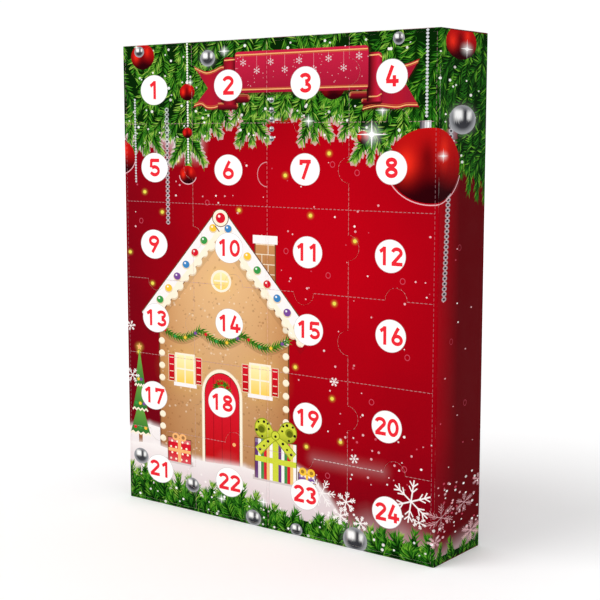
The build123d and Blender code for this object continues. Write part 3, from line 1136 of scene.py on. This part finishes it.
def numeral_strokes():
    """The strokes of each numeral as paths in shares of its height, from its lower left corner."""
    half = STROKE_SHARE / 2
    right = DIGIT_WIDTH_SHARE - half
    middle = DIGIT_WIDTH_SHARE / 2
    reach = middle - half
    foot, top = 1j * half, 1j * (1 - half)
    two = oval(middle + 0.70j, reach, 0.30 - half, 170, -40, 16)
    return (
        whole_oval(middle + 0.5j, reach, 0.5 - half),
        [[0.42, 0.42 + 1j], [0.12 + 0.72j, 0.44 + 0.93j]],
        [two, [two[-2], 0.12 + 1.2 * foot], [0.04 + foot, right + half + foot]],
        [oval(middle - 0.01 + 0.735j, reach * 0.95, 0.265 - half, 165, -90, 16),
         oval(middle + 0.275j, reach, 0.275 - half, 90, -165, 16)],
        [[0.42 + 1j, 0.10 + 0.28j], [0.03 + 0.26j, DIGIT_WIDTH_SHARE + 0.03 + 0.26j], [0.53, 0.53 + 0.54j]],
        [[0.11 + top, right + 0.05 + top], [0.15 + 0.95j, 0.13 + 0.50j],
         oval(middle + 0.32j, reach, 0.32 - half, 132, -160)],
        whole_oval(middle + 0.31j, reach, 0.31 - half) + [[0.47 + 0.97j, 0.30 + 0.72j, half + 0.01 + 0.36j]],
        [
            [0.03 + top, right + half + top], [0.03 + half + 1j, 0.03 + half + 0.72j],
            [right - 0.01 + 0.95j, 0.25],
        ],
        whole_oval(middle + 0.745j, reach * 0.88, 0.255 - half)
        + whole_oval(middle + 0.275j, reach, 0.275 - half),
        whole_oval(middle + 0.69j, reach, 0.31 - half) + [[0.25 + 0.03j, 0.42 + 0.28j, right - 0.01 + 0.64j]],
    )


def all_discs():
    """White printed discs with their numbers in red."""
    strokes = numeral_strokes()
    for number, share in enumerate(DISC_SHARES, 1):
        centre, text = on_front(*share), str(number)
        draw_round(centre, DISC_RADIUS + 0.3, DISC_EDGE, 0.8, steps=48)
        draw_round(centre, DISC_RADIUS, WHITE, steps=48)
        tall = SINGLE_HEIGHT if len(text) == 1 else DOUBLE_HEIGHT
        wide = tall * wide_share(centre) / wide_share(WIDTH * 0.6)
        advance = (DIGIT_WIDTH_SHARE + DIGIT_GAP_SHARE) * wide
        origin = centre - (advance * len(text) - DIGIT_GAP_SHARE * wide) / 2 - 0.5j * tall
        for place, character in enumerate(text):
            for path in strokes[int(character)]:
                outline = [origin + place * advance + stretched(step, wide, tall) for step in path]
                draw_line(outline, STROKE_SHARE * tall, NUMBER_RED)


# Perforation: white fibres along every cut, in dashes

DASH = 2.0
DASH_GAP = 1.3
DASH_WIDTH = 0.42
TAB_RADIUS = 8.6
SIDE_TAB_SHARES = (0.435, 0.545)
ROW_TAB_SHARES = (0.46, 0.55)
SHINE_SHARES = (0.648, 0.854)


def side_tab(row, column):
    """Centre of the half-moon on the cut to the right of an even column."""
    return complex((column + 1) * CELL_WIDTH, HEIGHT - (row + SIDE_TAB_SHARES[row % 2]) * CELL_HEIGHT)


def row_tab(row, column):
    """Centre of the half-moon on the cut below an even row."""
    return complex((column + ROW_TAB_SHARES[column % 2]) * CELL_WIDTH, HEIGHT - (row + 1) * CELL_HEIGHT)


def dashes(path, cover, colour=PERFORATION):
    """Dashes of torn white fibre along a path of points."""
    mark = walked = 0.0
    for a, b in zip(path, path[1:]):
        length = abs(b - a)
        mark = max(mark, walked)
        while mark < walked + length:
            first = a + (b - a) * (mark - walked) / length
            last = a + (b - a) * min(mark + DASH - walked, length) / length
            if abs(last - first) > 0.3 * DASH:
                draw_line([first, last], DASH_WIDTH, colour, cover)
            mark += DASH + DASH_GAP
        walked += length


def perforations():
    """Dashes along all cuts and creases, round their half-moons."""
    foot, top = 1j * BORDER, 1j * (HEIGHT - BORDER)
    for column in range(0, COLUMNS, 2):
        x = (column + 1) * CELL_WIDTH
        ends = (270 if row % 2 else -90 for row in range(ROWS))
        moons = [arc(side_tab(row, column), TAB_RADIUS, 90, end, 24) for row, end in enumerate(ends)]
        dashes([x + top] + sum(moons, []) + [x + foot], 0.4)
    for line in range(1, ROWS):
        level = 1j * (HEIGHT - line * CELL_HEIGHT)
        moons = [arc(row_tab(line - 1, column), TAB_RADIUS, 180, 0 if column % 2 else 360, 24)
                 for column in range(COLUMNS if line % 2 else 0)]
        dashes([BORDER + level] + sum(moons, []) + [WIDTH - BORDER + level], 0.65)
    for x, cover in ((WIDTH / 2, 0.4), (BORDER, 0.3), (WIDTH - BORDER, 0.24)):
        dashes([x + top, x + foot], cover)
    shine = [on_front(u, 5 / ROWS) for u in SHINE_SHARES]
    draw_haze(*shine, 10, FROST, 0.14)
    dashes(shine, 0.7, WHITE)
    draw_line(arc(on_front(0.5, 0.269), TAB_RADIUS, 90, 270, 24), 0.5, PERFORATION, 0.8)


for draw_part in (sky, garden, fir_bottom, front_flakes, fir_top, fir_side, back_print, end_print,
                  ornaments, side_ornaments, ribbon_banner, all_discs, perforations):
    draw_part()


# Printed board made from the flat blank

CHECK_STEP = 0.45
FEW_CELLS = 3
GRID_COLUMNS = int((BLANK_END - PRINT_START) / CHECK_STEP) + 2
GRID_ROWS = int((HEIGHT - 2 * PRINT_START) / CHECK_STEP) + 1


def cells(low, high, count):
    """The first of a fine grid's cells whose middles lie between two values, and the one past the last."""
    first, last = ((value - PRINT_START) / CHECK_STEP for value in (low, high))
    return max(math.ceil(first - 0.5), 0), min(int(last + 0.5), count)


def rows_inside(outline):
    """Runs of a fine square grid inside an outline, as row, first column and the one past the last."""
    low, high = limits(outline)
    edges = edges_of(outline)
    for row in range(*cells(low.imag, high.imag, GRID_ROWS)):
        level = PRINT_START + (row + 0.5) * CHECK_STEP
        crossings = sorted(
            a.real + (b.real - a.real) * (level - a.imag) / (b.imag - a.imag)
            for a, b in edges if (a.imag > level) != (b.imag > level)
        )
        for left, right in zip(crossings[::2], crossings[1::2]):
            first, last = cells(left, right, GRID_COLUMNS)
            if last > first:
                yield row, first, last


def shapes_that_show(shapes):
    """The shapes without those that later ones hide, worked out from the last one to the first."""
    hidden = [bytearray(GRID_COLUMNS) for _ in range(GRID_ROWS)]
    kept = []
    for shape in reversed(shapes):
        runs = list(rows_inside(shape.outline))
        size = sum(last - first for _, first, last in runs)
        open_cells = sum(hidden[row][first:last].count(0) for row, first, last in runs)
        if size and open_cells <= min(FEW_CELLS, size / 12):
            continue
        kept.append(shape)
        for row, first, last in runs if shape.opaque else ():
            hidden[row][first:last] = b"1" * (last - first)
    return kept[::-1]


def ink_at(place, shapes):
    """Premultiplied ink and cover where these shapes lie over each other, the lowest first."""
    opaque = [number for number, shape in enumerate(shapes) if shape.opaque]
    below = (0.0, 0.0, 0.0, 0.0)
    for shape in shapes[opaque[-1] if opaque else 0:]:
        if shape.colour is not None:
            below = shape.over(place, below)
    return below


def cut_sheet(name, outline, openings, creases, fields):
    """A flat sheet of the blank, divided along every shape in its fields, with its ink at each corner."""
    shapes = [shape for shape in artwork if any(touching(low, high, shape) for low, high in fields)]
    points, faces, edges = [], [], []
    for polygon in [outline] + openings + [shape.outline for shape in shapes]:
        faces.append(list(range(len(points), len(points) + len(polygon))))
        points += polygon
    for path in creases:
        edges += [(len(points) + k, len(points) + k + 1) for k in range(len(path) - 1)]
        points += path
    corners = [Vector((place.real, place.imag)) for place in points]
    found = delaunay_2d_cdt(corners, edges, faces, 1, MERGE, True)
    places = [complex(*place) for place in found[0]]
    first_shape = 1 + len(openings)
    kept, colours = [], []
    for triangle, owner in zip(found[2], found[5]):
        owned = sorted(set(owner))
        if not owned or owned[0] != 0 or (len(owned) > 1 and owned[1] < first_shape):
            continue
        centre = sum(places[corner] for corner in triangle) / 3
        layers = [shapes[number - first_shape] for number in owned[1:]]
        layers = [shape for shape in layers if touching(centre, centre, shape)]
        kept.append(triangle)
        for corner in triangle:
            colours.extend(ink_at(places[corner], layers))
    mesh = bpy.data.meshes.new(name)
    mesh.from_pydata([(place.real, 0.0, place.imag) for place in places], [], kept)
    layer = mesh.attributes.new("ink", "FLOAT_COLOR", "CORNER")
    layer.data.foreach_set("color", colours)
    return mesh


def finish_sheet(node, body, mesh, thicken, hinges, place_on_carton):
    """Gives a flat sheet its thickness and its place on the carton, in its node's stead.

    Its walls are cut edges, but those along a hinge are printed and only folded.
    """
    sheet = bmesh.new()
    sheet.from_mesh(mesh)
    loose = [vert for vert in sheet.verts if not vert.link_faces]
    bmesh.ops.delete(sheet, geom=loose, context="VERTS")
    thicken(sheet)
    bmesh.ops.recalc_face_normals(sheet, faces=sheet.faces)
    for face in sheet.faces:
        if face.normal.y > 0.5:
            face.material_index = 1
        elif face.normal.y > -0.5 and thicken != wrap_rim:
            middle = face.calc_center_median().x
            face.material_index = 0 if any(abs(middle - x) < KERF / 4 for x in hinges) else 2
    lay_out(sheet)
    for vert in sheet.verts:
        vert.co = cad_low + Vector(place_on_carton(vert.co)) * MM
    sheet.to_mesh(mesh)
    sheet.free()
    piece = bpy.data.objects.new(node + "_printed", mesh)
    bpy.context.scene.collection.objects.link(piece)
    for material in (printed_board, bare_board, cut_edge):
        mesh.materials.append(material)
    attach(piece, body)
    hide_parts(node)


PRINT_SHARE = 0.66
BACK_SHARE = 0.32


def lay_out(sheet):
    """The sheet's own map: its printed face above, and its back and cut edges below, flat as cut."""
    layer = sheet.loops.layers.uv.new("OFBake")
    low, high = limits([complex(vert.co.x, vert.co.z) for vert in sheet.verts])
    size, edge = high - low, 2 * BOARD
    for face in sheet.faces:
        wall = abs(face.normal.y) < 0.5
        printed = face.material_index == 0 and (not wall or face.normal.y < -0.01)
        for loop in face.loops:
            u, v = loop.vert.co.x - low.real, loop.vert.co.z - low.imag
            if printed:
                loop[layer].uv = (u / size.real, 1 - PRINT_SHARE + v / size.imag * PRINT_SHARE)
            else:
                rise = BOARD - loop.vert.co.y
                u += face.normal.x * rise + edge
                v += face.normal.z * rise + edge
                loop[layer].uv = (u / (size.real + 2 * edge), v / (size.imag + 2 * edge) * BACK_SHARE)


def rims(sheet):
    return [edge for edge in sheet.edges if edge.is_boundary]


def wall_round(sheet):
    """Walls from the rims of the printed face, and the open edges at their far side."""
    walls = bmesh.ops.extrude_edge_only(sheet, edges=rims(sheet))["geom"]
    far = [item for item in walls if isinstance(item, bmesh.types.BMVert)]
    bmesh.ops.translate(sheet, vec=(0, BOARD, 0), verts=far)
    return rims(sheet)


def thicken_door(sheet):
    """Walls and one flat back."""
    bmesh.ops.contextual_create(sheet, geom=wall_round(sheet))


def thicken_sleeve(sheet):
    """Walls and a plain inner face round the openings, divided where the board folds."""
    made = bmesh.ops.triangle_fill(sheet, use_beauty=True, edges=wall_round(sheet))["geom"]
    faces = [item for item in made if isinstance(item, bmesh.types.BMFace)]
    inner = faces + list(dict.fromkeys(part for face in faces for part in (*face.edges, *face.verts)))
    for line in FOLD_LINES:
        inner = bmesh.ops.bisect_plane(sheet, geom=inner, dist=2 * MERGE, plane_co=(line, 0, 0),
                                       plane_no=(1, 0, 0))["geom"]


RIM_ROUND = 0.6 * BOARD
RIM_ARC = RIM_ROUND * math.pi / 2
RIM_WRAP = RIM_ARC + BOARD - RIM_ROUND


def round_rim(across, along):
    """Where a place on an end panel's flat print comes to lie: how far along, back and down its rim."""
    inside = complex(min(max(across, FOLD_RADIUS), WIDTH - FOLD_RADIUS),
                     min(max(along, FOLD_RADIUS), DEPTH - FOLD_RADIUS))
    away = complex(across, along) - inside
    flat = FOLD_RADIUS - RIM_ROUND
    beyond = abs(away) - flat
    if beyond <= 0:
        return across, along, 0.0
    angle = min(beyond / RIM_ROUND, math.pi / 2)
    place = inside + away / abs(away) * (flat + RIM_ROUND * math.sin(angle))
    return place.real, place.imag, RIM_ROUND * (1 - math.cos(angle)) + max(beyond - RIM_ARC, 0)


def wrap_rim(sheet):
    """Turns the printed face of an end panel down all round, and closes it with a flat underside."""
    for vert in sheet.verts:
        along = vert.co.z - HEIGHT if vert.co.z > HEIGHT / 2 else -vert.co.z
        vert.co.y = round_rim(vert.co.x, along)[2]
    bmesh.ops.contextual_create(sheet, geom=rims(sheet))


# Shaders


def add(tree, kind, inputs=(), **settings):
    """A node with its settings, and with its inputs linked or set."""
    made = tree.nodes.new(kind)
    for key, value in settings.items():
        setattr(made, key, value)
    for key, value in dict(inputs).items():
        if isinstance(value, bpy.types.NodeSocket):
            tree.links.new(value, made.inputs[key])
        else:
            made.inputs[key].default_value = value
    return made


def calc(tree, operation, *values, clamp=False):
    made = add(tree, "ShaderNodeMath", enumerate(values), operation=operation, use_clamp=clamp)
    return made.outputs[0]


def mixed(tree, share, one, other, mode="MIX"):
    made = add(tree, "ShaderNodeMix", {0: share, 6: one, 7: other}, data_type="RGBA", blend_type=mode)
    return made.outputs[2]


def noise(tree, place, scale, detail=4.0, roughness=0.5):
    made = add(tree, "ShaderNodeTexNoise", {"Vector": place, "Scale": scale, "Detail": detail,
                                            "Roughness": roughness})
    return made.outputs[0]


def spread(tree, value, low, high):
    """A value stretched so that low becomes 0 and high becomes 1."""
    made = add(tree, "ShaderNodeMapRange", {0: value, 1: low, 2: high}, clamp=True)
    return made.outputs[0]


def new_group(name, inputs, outputs):
    group = bpy.data.node_groups.new(name, "ShaderNodeTree")
    for in_out, sockets in (("INPUT", inputs), ("OUTPUT", outputs)):
        for label, kind, value in sockets:
            socket = group.interface.new_socket(label, in_out=in_out, socket_type="NodeSocket" + kind)
            if value is not None:
                socket.default_value = value
    start = group.nodes.new("NodeGroupInput")
    end = group.nodes.new("NodeGroupOutput")
    return group, start, end


def paper_fibre_group():
    """Board surface: fine fibres and a slow cloudiness in tone, with a matching height."""
    group, start, end = new_group(
        "paper fibre",
        (("Color", "Color", (1, 1, 1, 1)), ("Strength", "Float", 0.1), ("Scale", "Float", 900.0)),
        (("Color", "Color", None), ("Height", "Float", None)),
    )
    place = add(group, "ShaderNodeTexCoord").outputs["Object"]
    fine = noise(group, place, start.outputs["Scale"], 6.0, 0.7)
    long_way = add(group, "ShaderNodeMapping", {"Vector": place, "Scale": (1.0, 1.0, 0.22)}).outputs[0]
    strands = noise(group, long_way, calc(group, "MULTIPLY", start.outputs["Scale"], 1.6), 3.0, 0.6)
    cloud = noise(group, place, 26.0, 3.0)
    height = calc(group, "ADD", calc(group, "MULTIPLY", fine, 0.6), calc(group, "MULTIPLY", strands, 0.4))
    both = calc(group, "ADD", calc(group, "MULTIPLY", height, 0.7), calc(group, "MULTIPLY", cloud, 0.3))
    change = calc(group, "MULTIPLY", calc(group, "SUBTRACT", both, 0.5), start.outputs["Strength"])
    light = calc(group, "ADD", 1.0, calc(group, "MULTIPLY", change, 2.0))
    grey = add(group, "ShaderNodeCombineColor", {0: light, 1: light, 2: light}).outputs[0]
    group.links.new(mixed(group, 1.0, start.outputs["Color"], grey, "MULTIPLY"), end.inputs["Color"])
    group.links.new(height, end.inputs["Height"])
    return group


def fold_wear_group():
    """Ink rubbed off along the folds of the carton, in broken specks."""
    group, start, end = new_group(
        "fold wear",
        (("Color", "Color", (1, 1, 1, 1)), ("Board", "Color", (1, 1, 1, 1)), ("Amount", "Float", 0.5)),
        (("Color", "Color", None), ("Worn", "Float", None)),
    )
    place = add(group, "ShaderNodeTexCoord").outputs["Object"]
    parts = add(group, "ShaderNodeSeparateXYZ", {0: place})
    near_x = calc(group, "SUBTRACT", SIZE.x / 2, calc(group, "ABSOLUTE", parts.outputs[0]))
    near_y = calc(group, "SUBTRACT", SIZE.y / 2, calc(group, "ABSOLUTE", parts.outputs[1]))
    middle = calc(group, "ABSOLUTE", calc(group, "SUBTRACT", parts.outputs[2], SIZE.z / 2))
    near_z = calc(group, "SUBTRACT", SIZE.z / 2, middle)
    upright = calc(group, "MAXIMUM", near_x, near_y)
    ends = calc(group, "MAXIMUM", near_z, calc(group, "MINIMUM", near_x, near_y))
    nearest = calc(group, "MINIMUM", upright, ends)
    rub = noise(group, place, 700.0, 5.0, 0.7)
    patches = noise(group, place, 45.0, 2.0)
    reach = calc(group, "MULTIPLY", calc(group, "MULTIPLY", rub, patches), 1.8 * MM)
    worn = spread(group, calc(group, "SUBTRACT", reach, nearest), 0.0, 0.35 * MM)
    share = calc(group, "MULTIPLY", worn, start.outputs["Amount"], clamp=True)
    group.links.new(mixed(group, share, start.outputs["Color"], start.outputs["Board"]), end.inputs["Color"])
    group.links.new(share, end.inputs["Worn"])
    return group


def new_material(name, colour, roughness, bump, strength, gloss=0.25, coat=0.0):
    """A principled material whose colour and height come from nodes, ready for its own groups."""
    material = bpy.data.materials.new(name)
    material.use_nodes = True
    tree = material.node_tree
    shader = tree.nodes["Principled BSDF"]
    shader.inputs["Specular IOR Level"].default_value = gloss
    shader.inputs["Coat Weight"].default_value = coat
    shader.inputs["Coat Roughness"].default_value = 0.28
    fibre = add(tree, "ShaderNodeGroup", node_tree=PAPER_FIBRE)
    fibre.inputs["Strength"].default_value = strength
    if isinstance(colour, tuple):
        fibre.inputs["Color"].default_value = (*colour, 1.0)
    else:
        tree.links.new(colour(tree), fibre.inputs["Color"])
    tree.links.new(fibre.outputs["Color"], shader.inputs["Base Color"])
    raised = add(tree, "ShaderNodeBump", {"Height": fibre.outputs["Height"], "Strength": bump,
                                          "Distance": 0.05 * MM})
    tree.links.new(raised.outputs[0], shader.inputs["Normal"])
    place = add(tree, "ShaderNodeTexCoord").outputs["Object"]
    matt = noise(tree, place, 60.0, 3.0)
    inputs = {0: matt, 1: 0.3, 2: 0.7, 3: roughness - 0.05, 4: roughness + 0.07}
    rough = add(tree, "ShaderNodeMapRange", inputs)
    tree.links.new(rough.outputs[0], shader.inputs["Roughness"])
    return material


GROUND_BRIGHT = ink(184, 0, 18)
GROUND_MIDDLE = ink(154, 0, 16)
GROUND_DARK = ink(112, 2, 18)
GROUND_SIDE = ink(94, 2, 10)


def print_colour(tree):
    """The red ground, brighter in the middle of the front and darker round the corner, under the ink."""
    place = add(tree, "ShaderNodeTexCoord").outputs["Object"]
    parts = add(tree, "ShaderNodeSeparateXYZ", {0: place})
    x = calc(tree, "DIVIDE", calc(tree, "SUBTRACT", parts.outputs[0], 0.16 * SIZE.x), 0.78 * SIZE.x)
    z = calc(tree, "DIVIDE", calc(tree, "SUBTRACT", parts.outputs[2], 0.60 * SIZE.z), 0.62 * SIZE.z)
    away = calc(tree, "SQRT", calc(tree, "ADD", calc(tree, "MULTIPLY", x, x), calc(tree, "MULTIPLY", z, z)))
    cloud = calc(tree, "MULTIPLY", calc(tree, "SUBTRACT", noise(tree, place, 16.0, 2.0), 0.5), 0.35)
    ramp = add(tree, "ShaderNodeValToRGB", {0: calc(tree, "ADD", away, cloud)})
    stops = ramp.color_ramp.elements
    stops[0].position, stops[0].color = 0.15, (*GROUND_BRIGHT, 1)
    stops[1].position, stops[1].color = 1.0, (*GROUND_DARK, 1)
    middle = stops.new(0.62)
    middle.color = (*GROUND_MIDDLE, 1)
    back = spread(tree, parts.outputs[1], FRONT + 0.2 * MM, FRONT + 0.45 * SIZE.y)
    ground = mixed(tree, back, ramp.outputs[0], (*GROUND_SIDE, 1))
    printed = add(tree, "ShaderNodeAttribute", attribute_name="ink")
    bare = calc(tree, "SUBTRACT", 1.0, printed.outputs["Alpha"])
    grey = add(tree, "ShaderNodeCombineColor", {0: bare, 1: bare, 2: bare}).outputs[0]
    under = mixed(tree, 1.0, ground, grey, "MULTIPLY")
    over = mixed(tree, 1.0, under, printed.outputs["Color"], "ADD")
    wear = add(tree, "ShaderNodeGroup", {"Color": over}, node_tree=FOLD_WEAR)
    wear.inputs["Board"].default_value = (*BOARD_WHITE, 1)
    wear.inputs["Amount"].default_value = 0.35
    return wear.outputs["Color"]


PAPER_FIBRE = paper_fibre_group()
FOLD_WEAR = fold_wear_group()
printed_board = new_material("printed board", print_colour, 0.45, 0.12, 0.06, gloss=0.01)
bare_board = new_material("bare board", ink(208, 201, 190), 0.82, 0.45, 0.20)
cut_edge = new_material("cut board edge", ink(214, 206, 194), 0.9, 0.7, 0.34)
grey_card = new_material("grey divider card", ink(178, 170, 156), 0.9, 0.5, 0.30)


# The doors, each a little inside its creases and cuts

HINGE_GAP = 0.18
END_GAP = 0.2
CREASE_GAP = 0.3


def door_outline(node, row, column):
    """The door's outline on the blank, with its tabs or notches, half a kerf inside its lines."""
    right = -1 if column % 2 else 1
    down = 1 if row % 2 else -1
    out = -1 if (row + column) % 2 else 1
    half = KERF / 2
    hinge_x = (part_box(node)[column % 2].x - LEFT) / MM - right * HINGE_GAP
    free_x = (column + 1 - column % 2) * CELL_WIDTH - right * half
    block_z = HEIGHT - (row + 1 - row % 2) * CELL_HEIGHT - down * half
    if row in (0, ROWS - 1):
        other_z = (BORDER if row else HEIGHT - BORDER) - down * END_GAP
    else:
        other_z = HEIGHT - (row + row % 2) * CELL_HEIGHT + down * half
    radius = TAB_RADIUS - out * half
    lift = out * math.degrees(math.asin(half / radius))
    moon = arc(0, radius, 90 + lift, -90 - lift, 24)
    side, end = side_tab(row, column - column % 2), row_tab(row - row % 2, column)
    side_moon = [side + complex(right * out * step.real, -down * step.imag) for step in moon]
    end_moon = [end + complex(right * step.imag, down * out * step.real) for step in moon]
    return counterclockwise([
        complex(hinge_x, other_z), complex(free_x, other_z), *side_moon,
        complex(free_x, block_z), *end_moon, complex(hinge_x, block_z),
    ])


def make_doors():
    for number in range(ROWS * COLUMNS):
        row, column = divmod(number, COLUMNS)
        node = f"door_{number + 1:02d}"
        outline = door_outline(node, row, column)
        low, high = limits(outline)
        mesh = cut_sheet(node + "_print", outline, [], [], [(low, high)])
        hinge = high.real if column % 2 else low.real
        finish_sheet(node, node, mesh, thicken_door, [hinge], lambda co: co)


# The sleeve. Each wall is its start on the blank, its corner seen from above, and its direction

WALLS = (
    (-DEPTH, 1j * DEPTH, -1j),
    (0.0, 0j, 1),
    (WIDTH, WIDTH, 1j),
    (BACK_START, complex(WIDTH, DEPTH), -1),
    (BLANK_END, 1j * DEPTH, -1j),
)
FOLD_STEPS = 4
SLEEVE_END = BLANK_END - FOLD_RADIUS
FOLD_LINES = [
    line for start, _, _ in WALLS for line in
    (start - FOLD_RADIUS + 2 * FOLD_RADIUS * step / FOLD_STEPS for step in range(FOLD_STEPS + 1))
    if PRINT_START < line < SLEEVE_END
]


def fold(co):
    """Where a point of the flat blank comes to lie on the folded carton; y is its depth in the board."""
    start, corner, way = next(wall for wall in reversed(WALLS) if co.x >= wall[0] - FOLD_RADIUS - MERGE)
    beyond = co.x - start
    if beyond <= FOLD_RADIUS:
        turn = 45 * (beyond / FOLD_RADIUS + 1)
        place = corner + way * ((1 + 1j) * FOLD_RADIUS - polar(FOLD_RADIUS - co.y, turn))
    else:
        place = corner + way * complex(beyond, co.y)
    return place.real, place.imag, co.z


def make_sleeve():
    """The sleeve as one printed blank with the door fields cut out, folded round and closed."""
    bottom, top = ((corner.z - BOTTOM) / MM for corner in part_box("carton_sleeve"))
    left, right = BORDER - CREASE_GAP, (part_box("door_02")[1].x - LEFT) / MM + CREASE_GAP
    foot, head = BORDER - CREASE_GAP, HEIGHT - BORDER + CREASE_GAP
    hinges = [left, right, WIDTH - right, WIDTH - left]
    openings = [box(complex(near, foot), complex(far, head)) for near, far in (hinges[:2], hinges[2:])]
    creases = [[complex(line, bottom), complex(line, top)] for line in FOLD_LINES]
    strips = (
        (PRINT_START, bottom, left, top), (right, bottom, WIDTH - right, top),
        (WIDTH - left, bottom, SLEEVE_END, top), (0, bottom, WIDTH, foot), (0, head, WIDTH, top),
    )
    fields = [(complex(*strip[:2]), complex(*strip[2:])) for strip in strips]
    outline = box(complex(PRINT_START, bottom), complex(SLEEVE_END, top))
    mesh = cut_sheet("carton_sleeve_print", outline, openings, creases, fields)
    finish_sheet("carton_sleeve", "carton", mesh, thicken_sleeve, hinges, fold)


def make_end_panel(node, edge, side):
    """An end panel, whose print goes on from the front's at that edge; side is 1 above and -1 below."""
    low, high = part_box(node)
    level = ((high if side > 0 else low).z - BOTTOM) / MM

    def ring(grow):
        inset = RIM_ROUND - grow
        near, far = sorted((edge + side * inset, edge + side * (DEPTH - inset)))
        return rounded_box(complex(inset, near), complex(WIDTH - inset, far), FOLD_RADIUS - inset)

    def place(co):
        across, along, drop = round_rim(co.x, side * (co.z - edge))
        return across, along, level - side * drop

    rings = [ring(RIM_ARC * step / 3) for step in range(4)]
    outline = ring(RIM_WRAP)
    creases = [path + path[:1] for path in rings]
    mesh = cut_sheet(node + "_print", outline, [], creases, [limits(outline)])
    finish_sheet(node, "carton", mesh, wrap_rim, [], place)


artwork = shapes_that_show(artwork)
make_doors()
make_sleeve()
make_end_panel("top_end_panel", HEIGHT, 1)
make_end_panel("bottom_end_panel", 0.0, -1)

for name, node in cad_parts.items():
    if name.startswith("door_") or name.endswith("end_panel") or name == "carton_sleeve":
        continue
    material = grey_card if name.startswith("divider_") else bare_board
    node.data.materials.clear()
    node.data.materials.append(material)


# Floor, light and camera


def make_floor():
    reach = 20.0
    mesh = bpy.data.meshes.new("floor")
    floor = bmesh.new()
    bmesh.ops.create_grid(floor, x_segments=1, y_segments=1, size=reach)
    floor.to_mesh(mesh)
    floor.free()
    stage = bpy.data.objects.new("floor", mesh)
    bpy.context.scene.collection.objects.link(stage)
    material = bpy.data.materials.new("pale floor")
    material.use_nodes = True
    shader = material.node_tree.nodes["Principled BSDF"]
    shader.inputs["Base Color"].default_value = (0.97, 0.97, 0.97, 1)
    shader.inputs["Roughness"].default_value = 0.8
    tree = material.node_tree
    place = add(tree, "ShaderNodeTexCoord").outputs["Object"]
    away = add(tree, "ShaderNodeVectorMath", {0: place}, operation="LENGTH").outputs["Value"]
    lift = add(tree, "ShaderNodeMapRange", {0: away, 1: 0.2, 2: 1.4, 3: 0.12, 4: 0.25}).outputs[0]
    white = add(tree, "ShaderNodeCombineColor", {0: lift, 1: lift, 2: lift}).outputs[0]
    tree.links.new(white, shader.inputs["Emission Color"])
    shader.inputs["Emission Strength"].default_value = 1.0
    mesh.materials.append(material)


def make_world():
    """White all round, brighter to the eye than as a light, so that the floor has no horizon."""
    world = bpy.data.worlds.new("studio")
    world.use_nodes = True
    tree = world.node_tree
    back = tree.nodes["Background"]
    back.inputs["Color"].default_value = (1, 1, 1, 1)
    ray = add(tree, "ShaderNodeLightPath")
    seen = calc(tree, "MULTIPLY", ray.outputs["Is Camera Ray"], 0.28)
    mirrored = calc(tree, "MULTIPLY", ray.outputs["Is Glossy Ray"], 0.50)
    strength = calc(tree, "SUBTRACT", calc(tree, "ADD", 0.74, seen), mirrored)
    tree.links.new(strength, back.inputs["Strength"])
    bpy.context.scene.world = world


def make_key_light():
    """A broad soft light from the front left and above."""
    light = bpy.data.lights.new("key", "SUN")
    light.energy = 1.1
    light.angle = math.radians(35)
    lamp = bpy.data.objects.new("key", light)
    bpy.context.scene.collection.objects.link(lamp)
    lamp.rotation_mode = "QUATERNION"
    lamp.rotation_quaternion = Vector((0.35, 0.55, -0.76)).to_track_quat("-Z", "Y")


def make_camera():
    azimuth, elevation = math.radians(37.4), math.radians(7.3)
    distance = 2.618 * SIZE.z
    target = Vector((0.0176 * SIZE.z, 0, BOTTOM + 0.4707 * SIZE.z))
    back = Vector((math.sin(azimuth) * math.cos(elevation), -math.cos(azimuth) * math.cos(elevation),
                   math.sin(elevation)))
    data = bpy.data.cameras.new("camera")
    image_side, focal_pixels = 600, 1264.3
    data.lens = data.sensor_width * focal_pixels / image_side
    camera = bpy.data.objects.new("camera", data)
    bpy.context.scene.collection.objects.link(camera)
    camera.location = target + back * distance
    camera.rotation_mode = "QUATERNION"
    camera.rotation_quaternion = (-back).to_track_quat("-Z", "Y")
    bpy.context.scene.camera = camera


make_floor()
make_world()
make_key_light()
make_camera()
bpy.context.scene.view_settings.view_transform = "Standard"
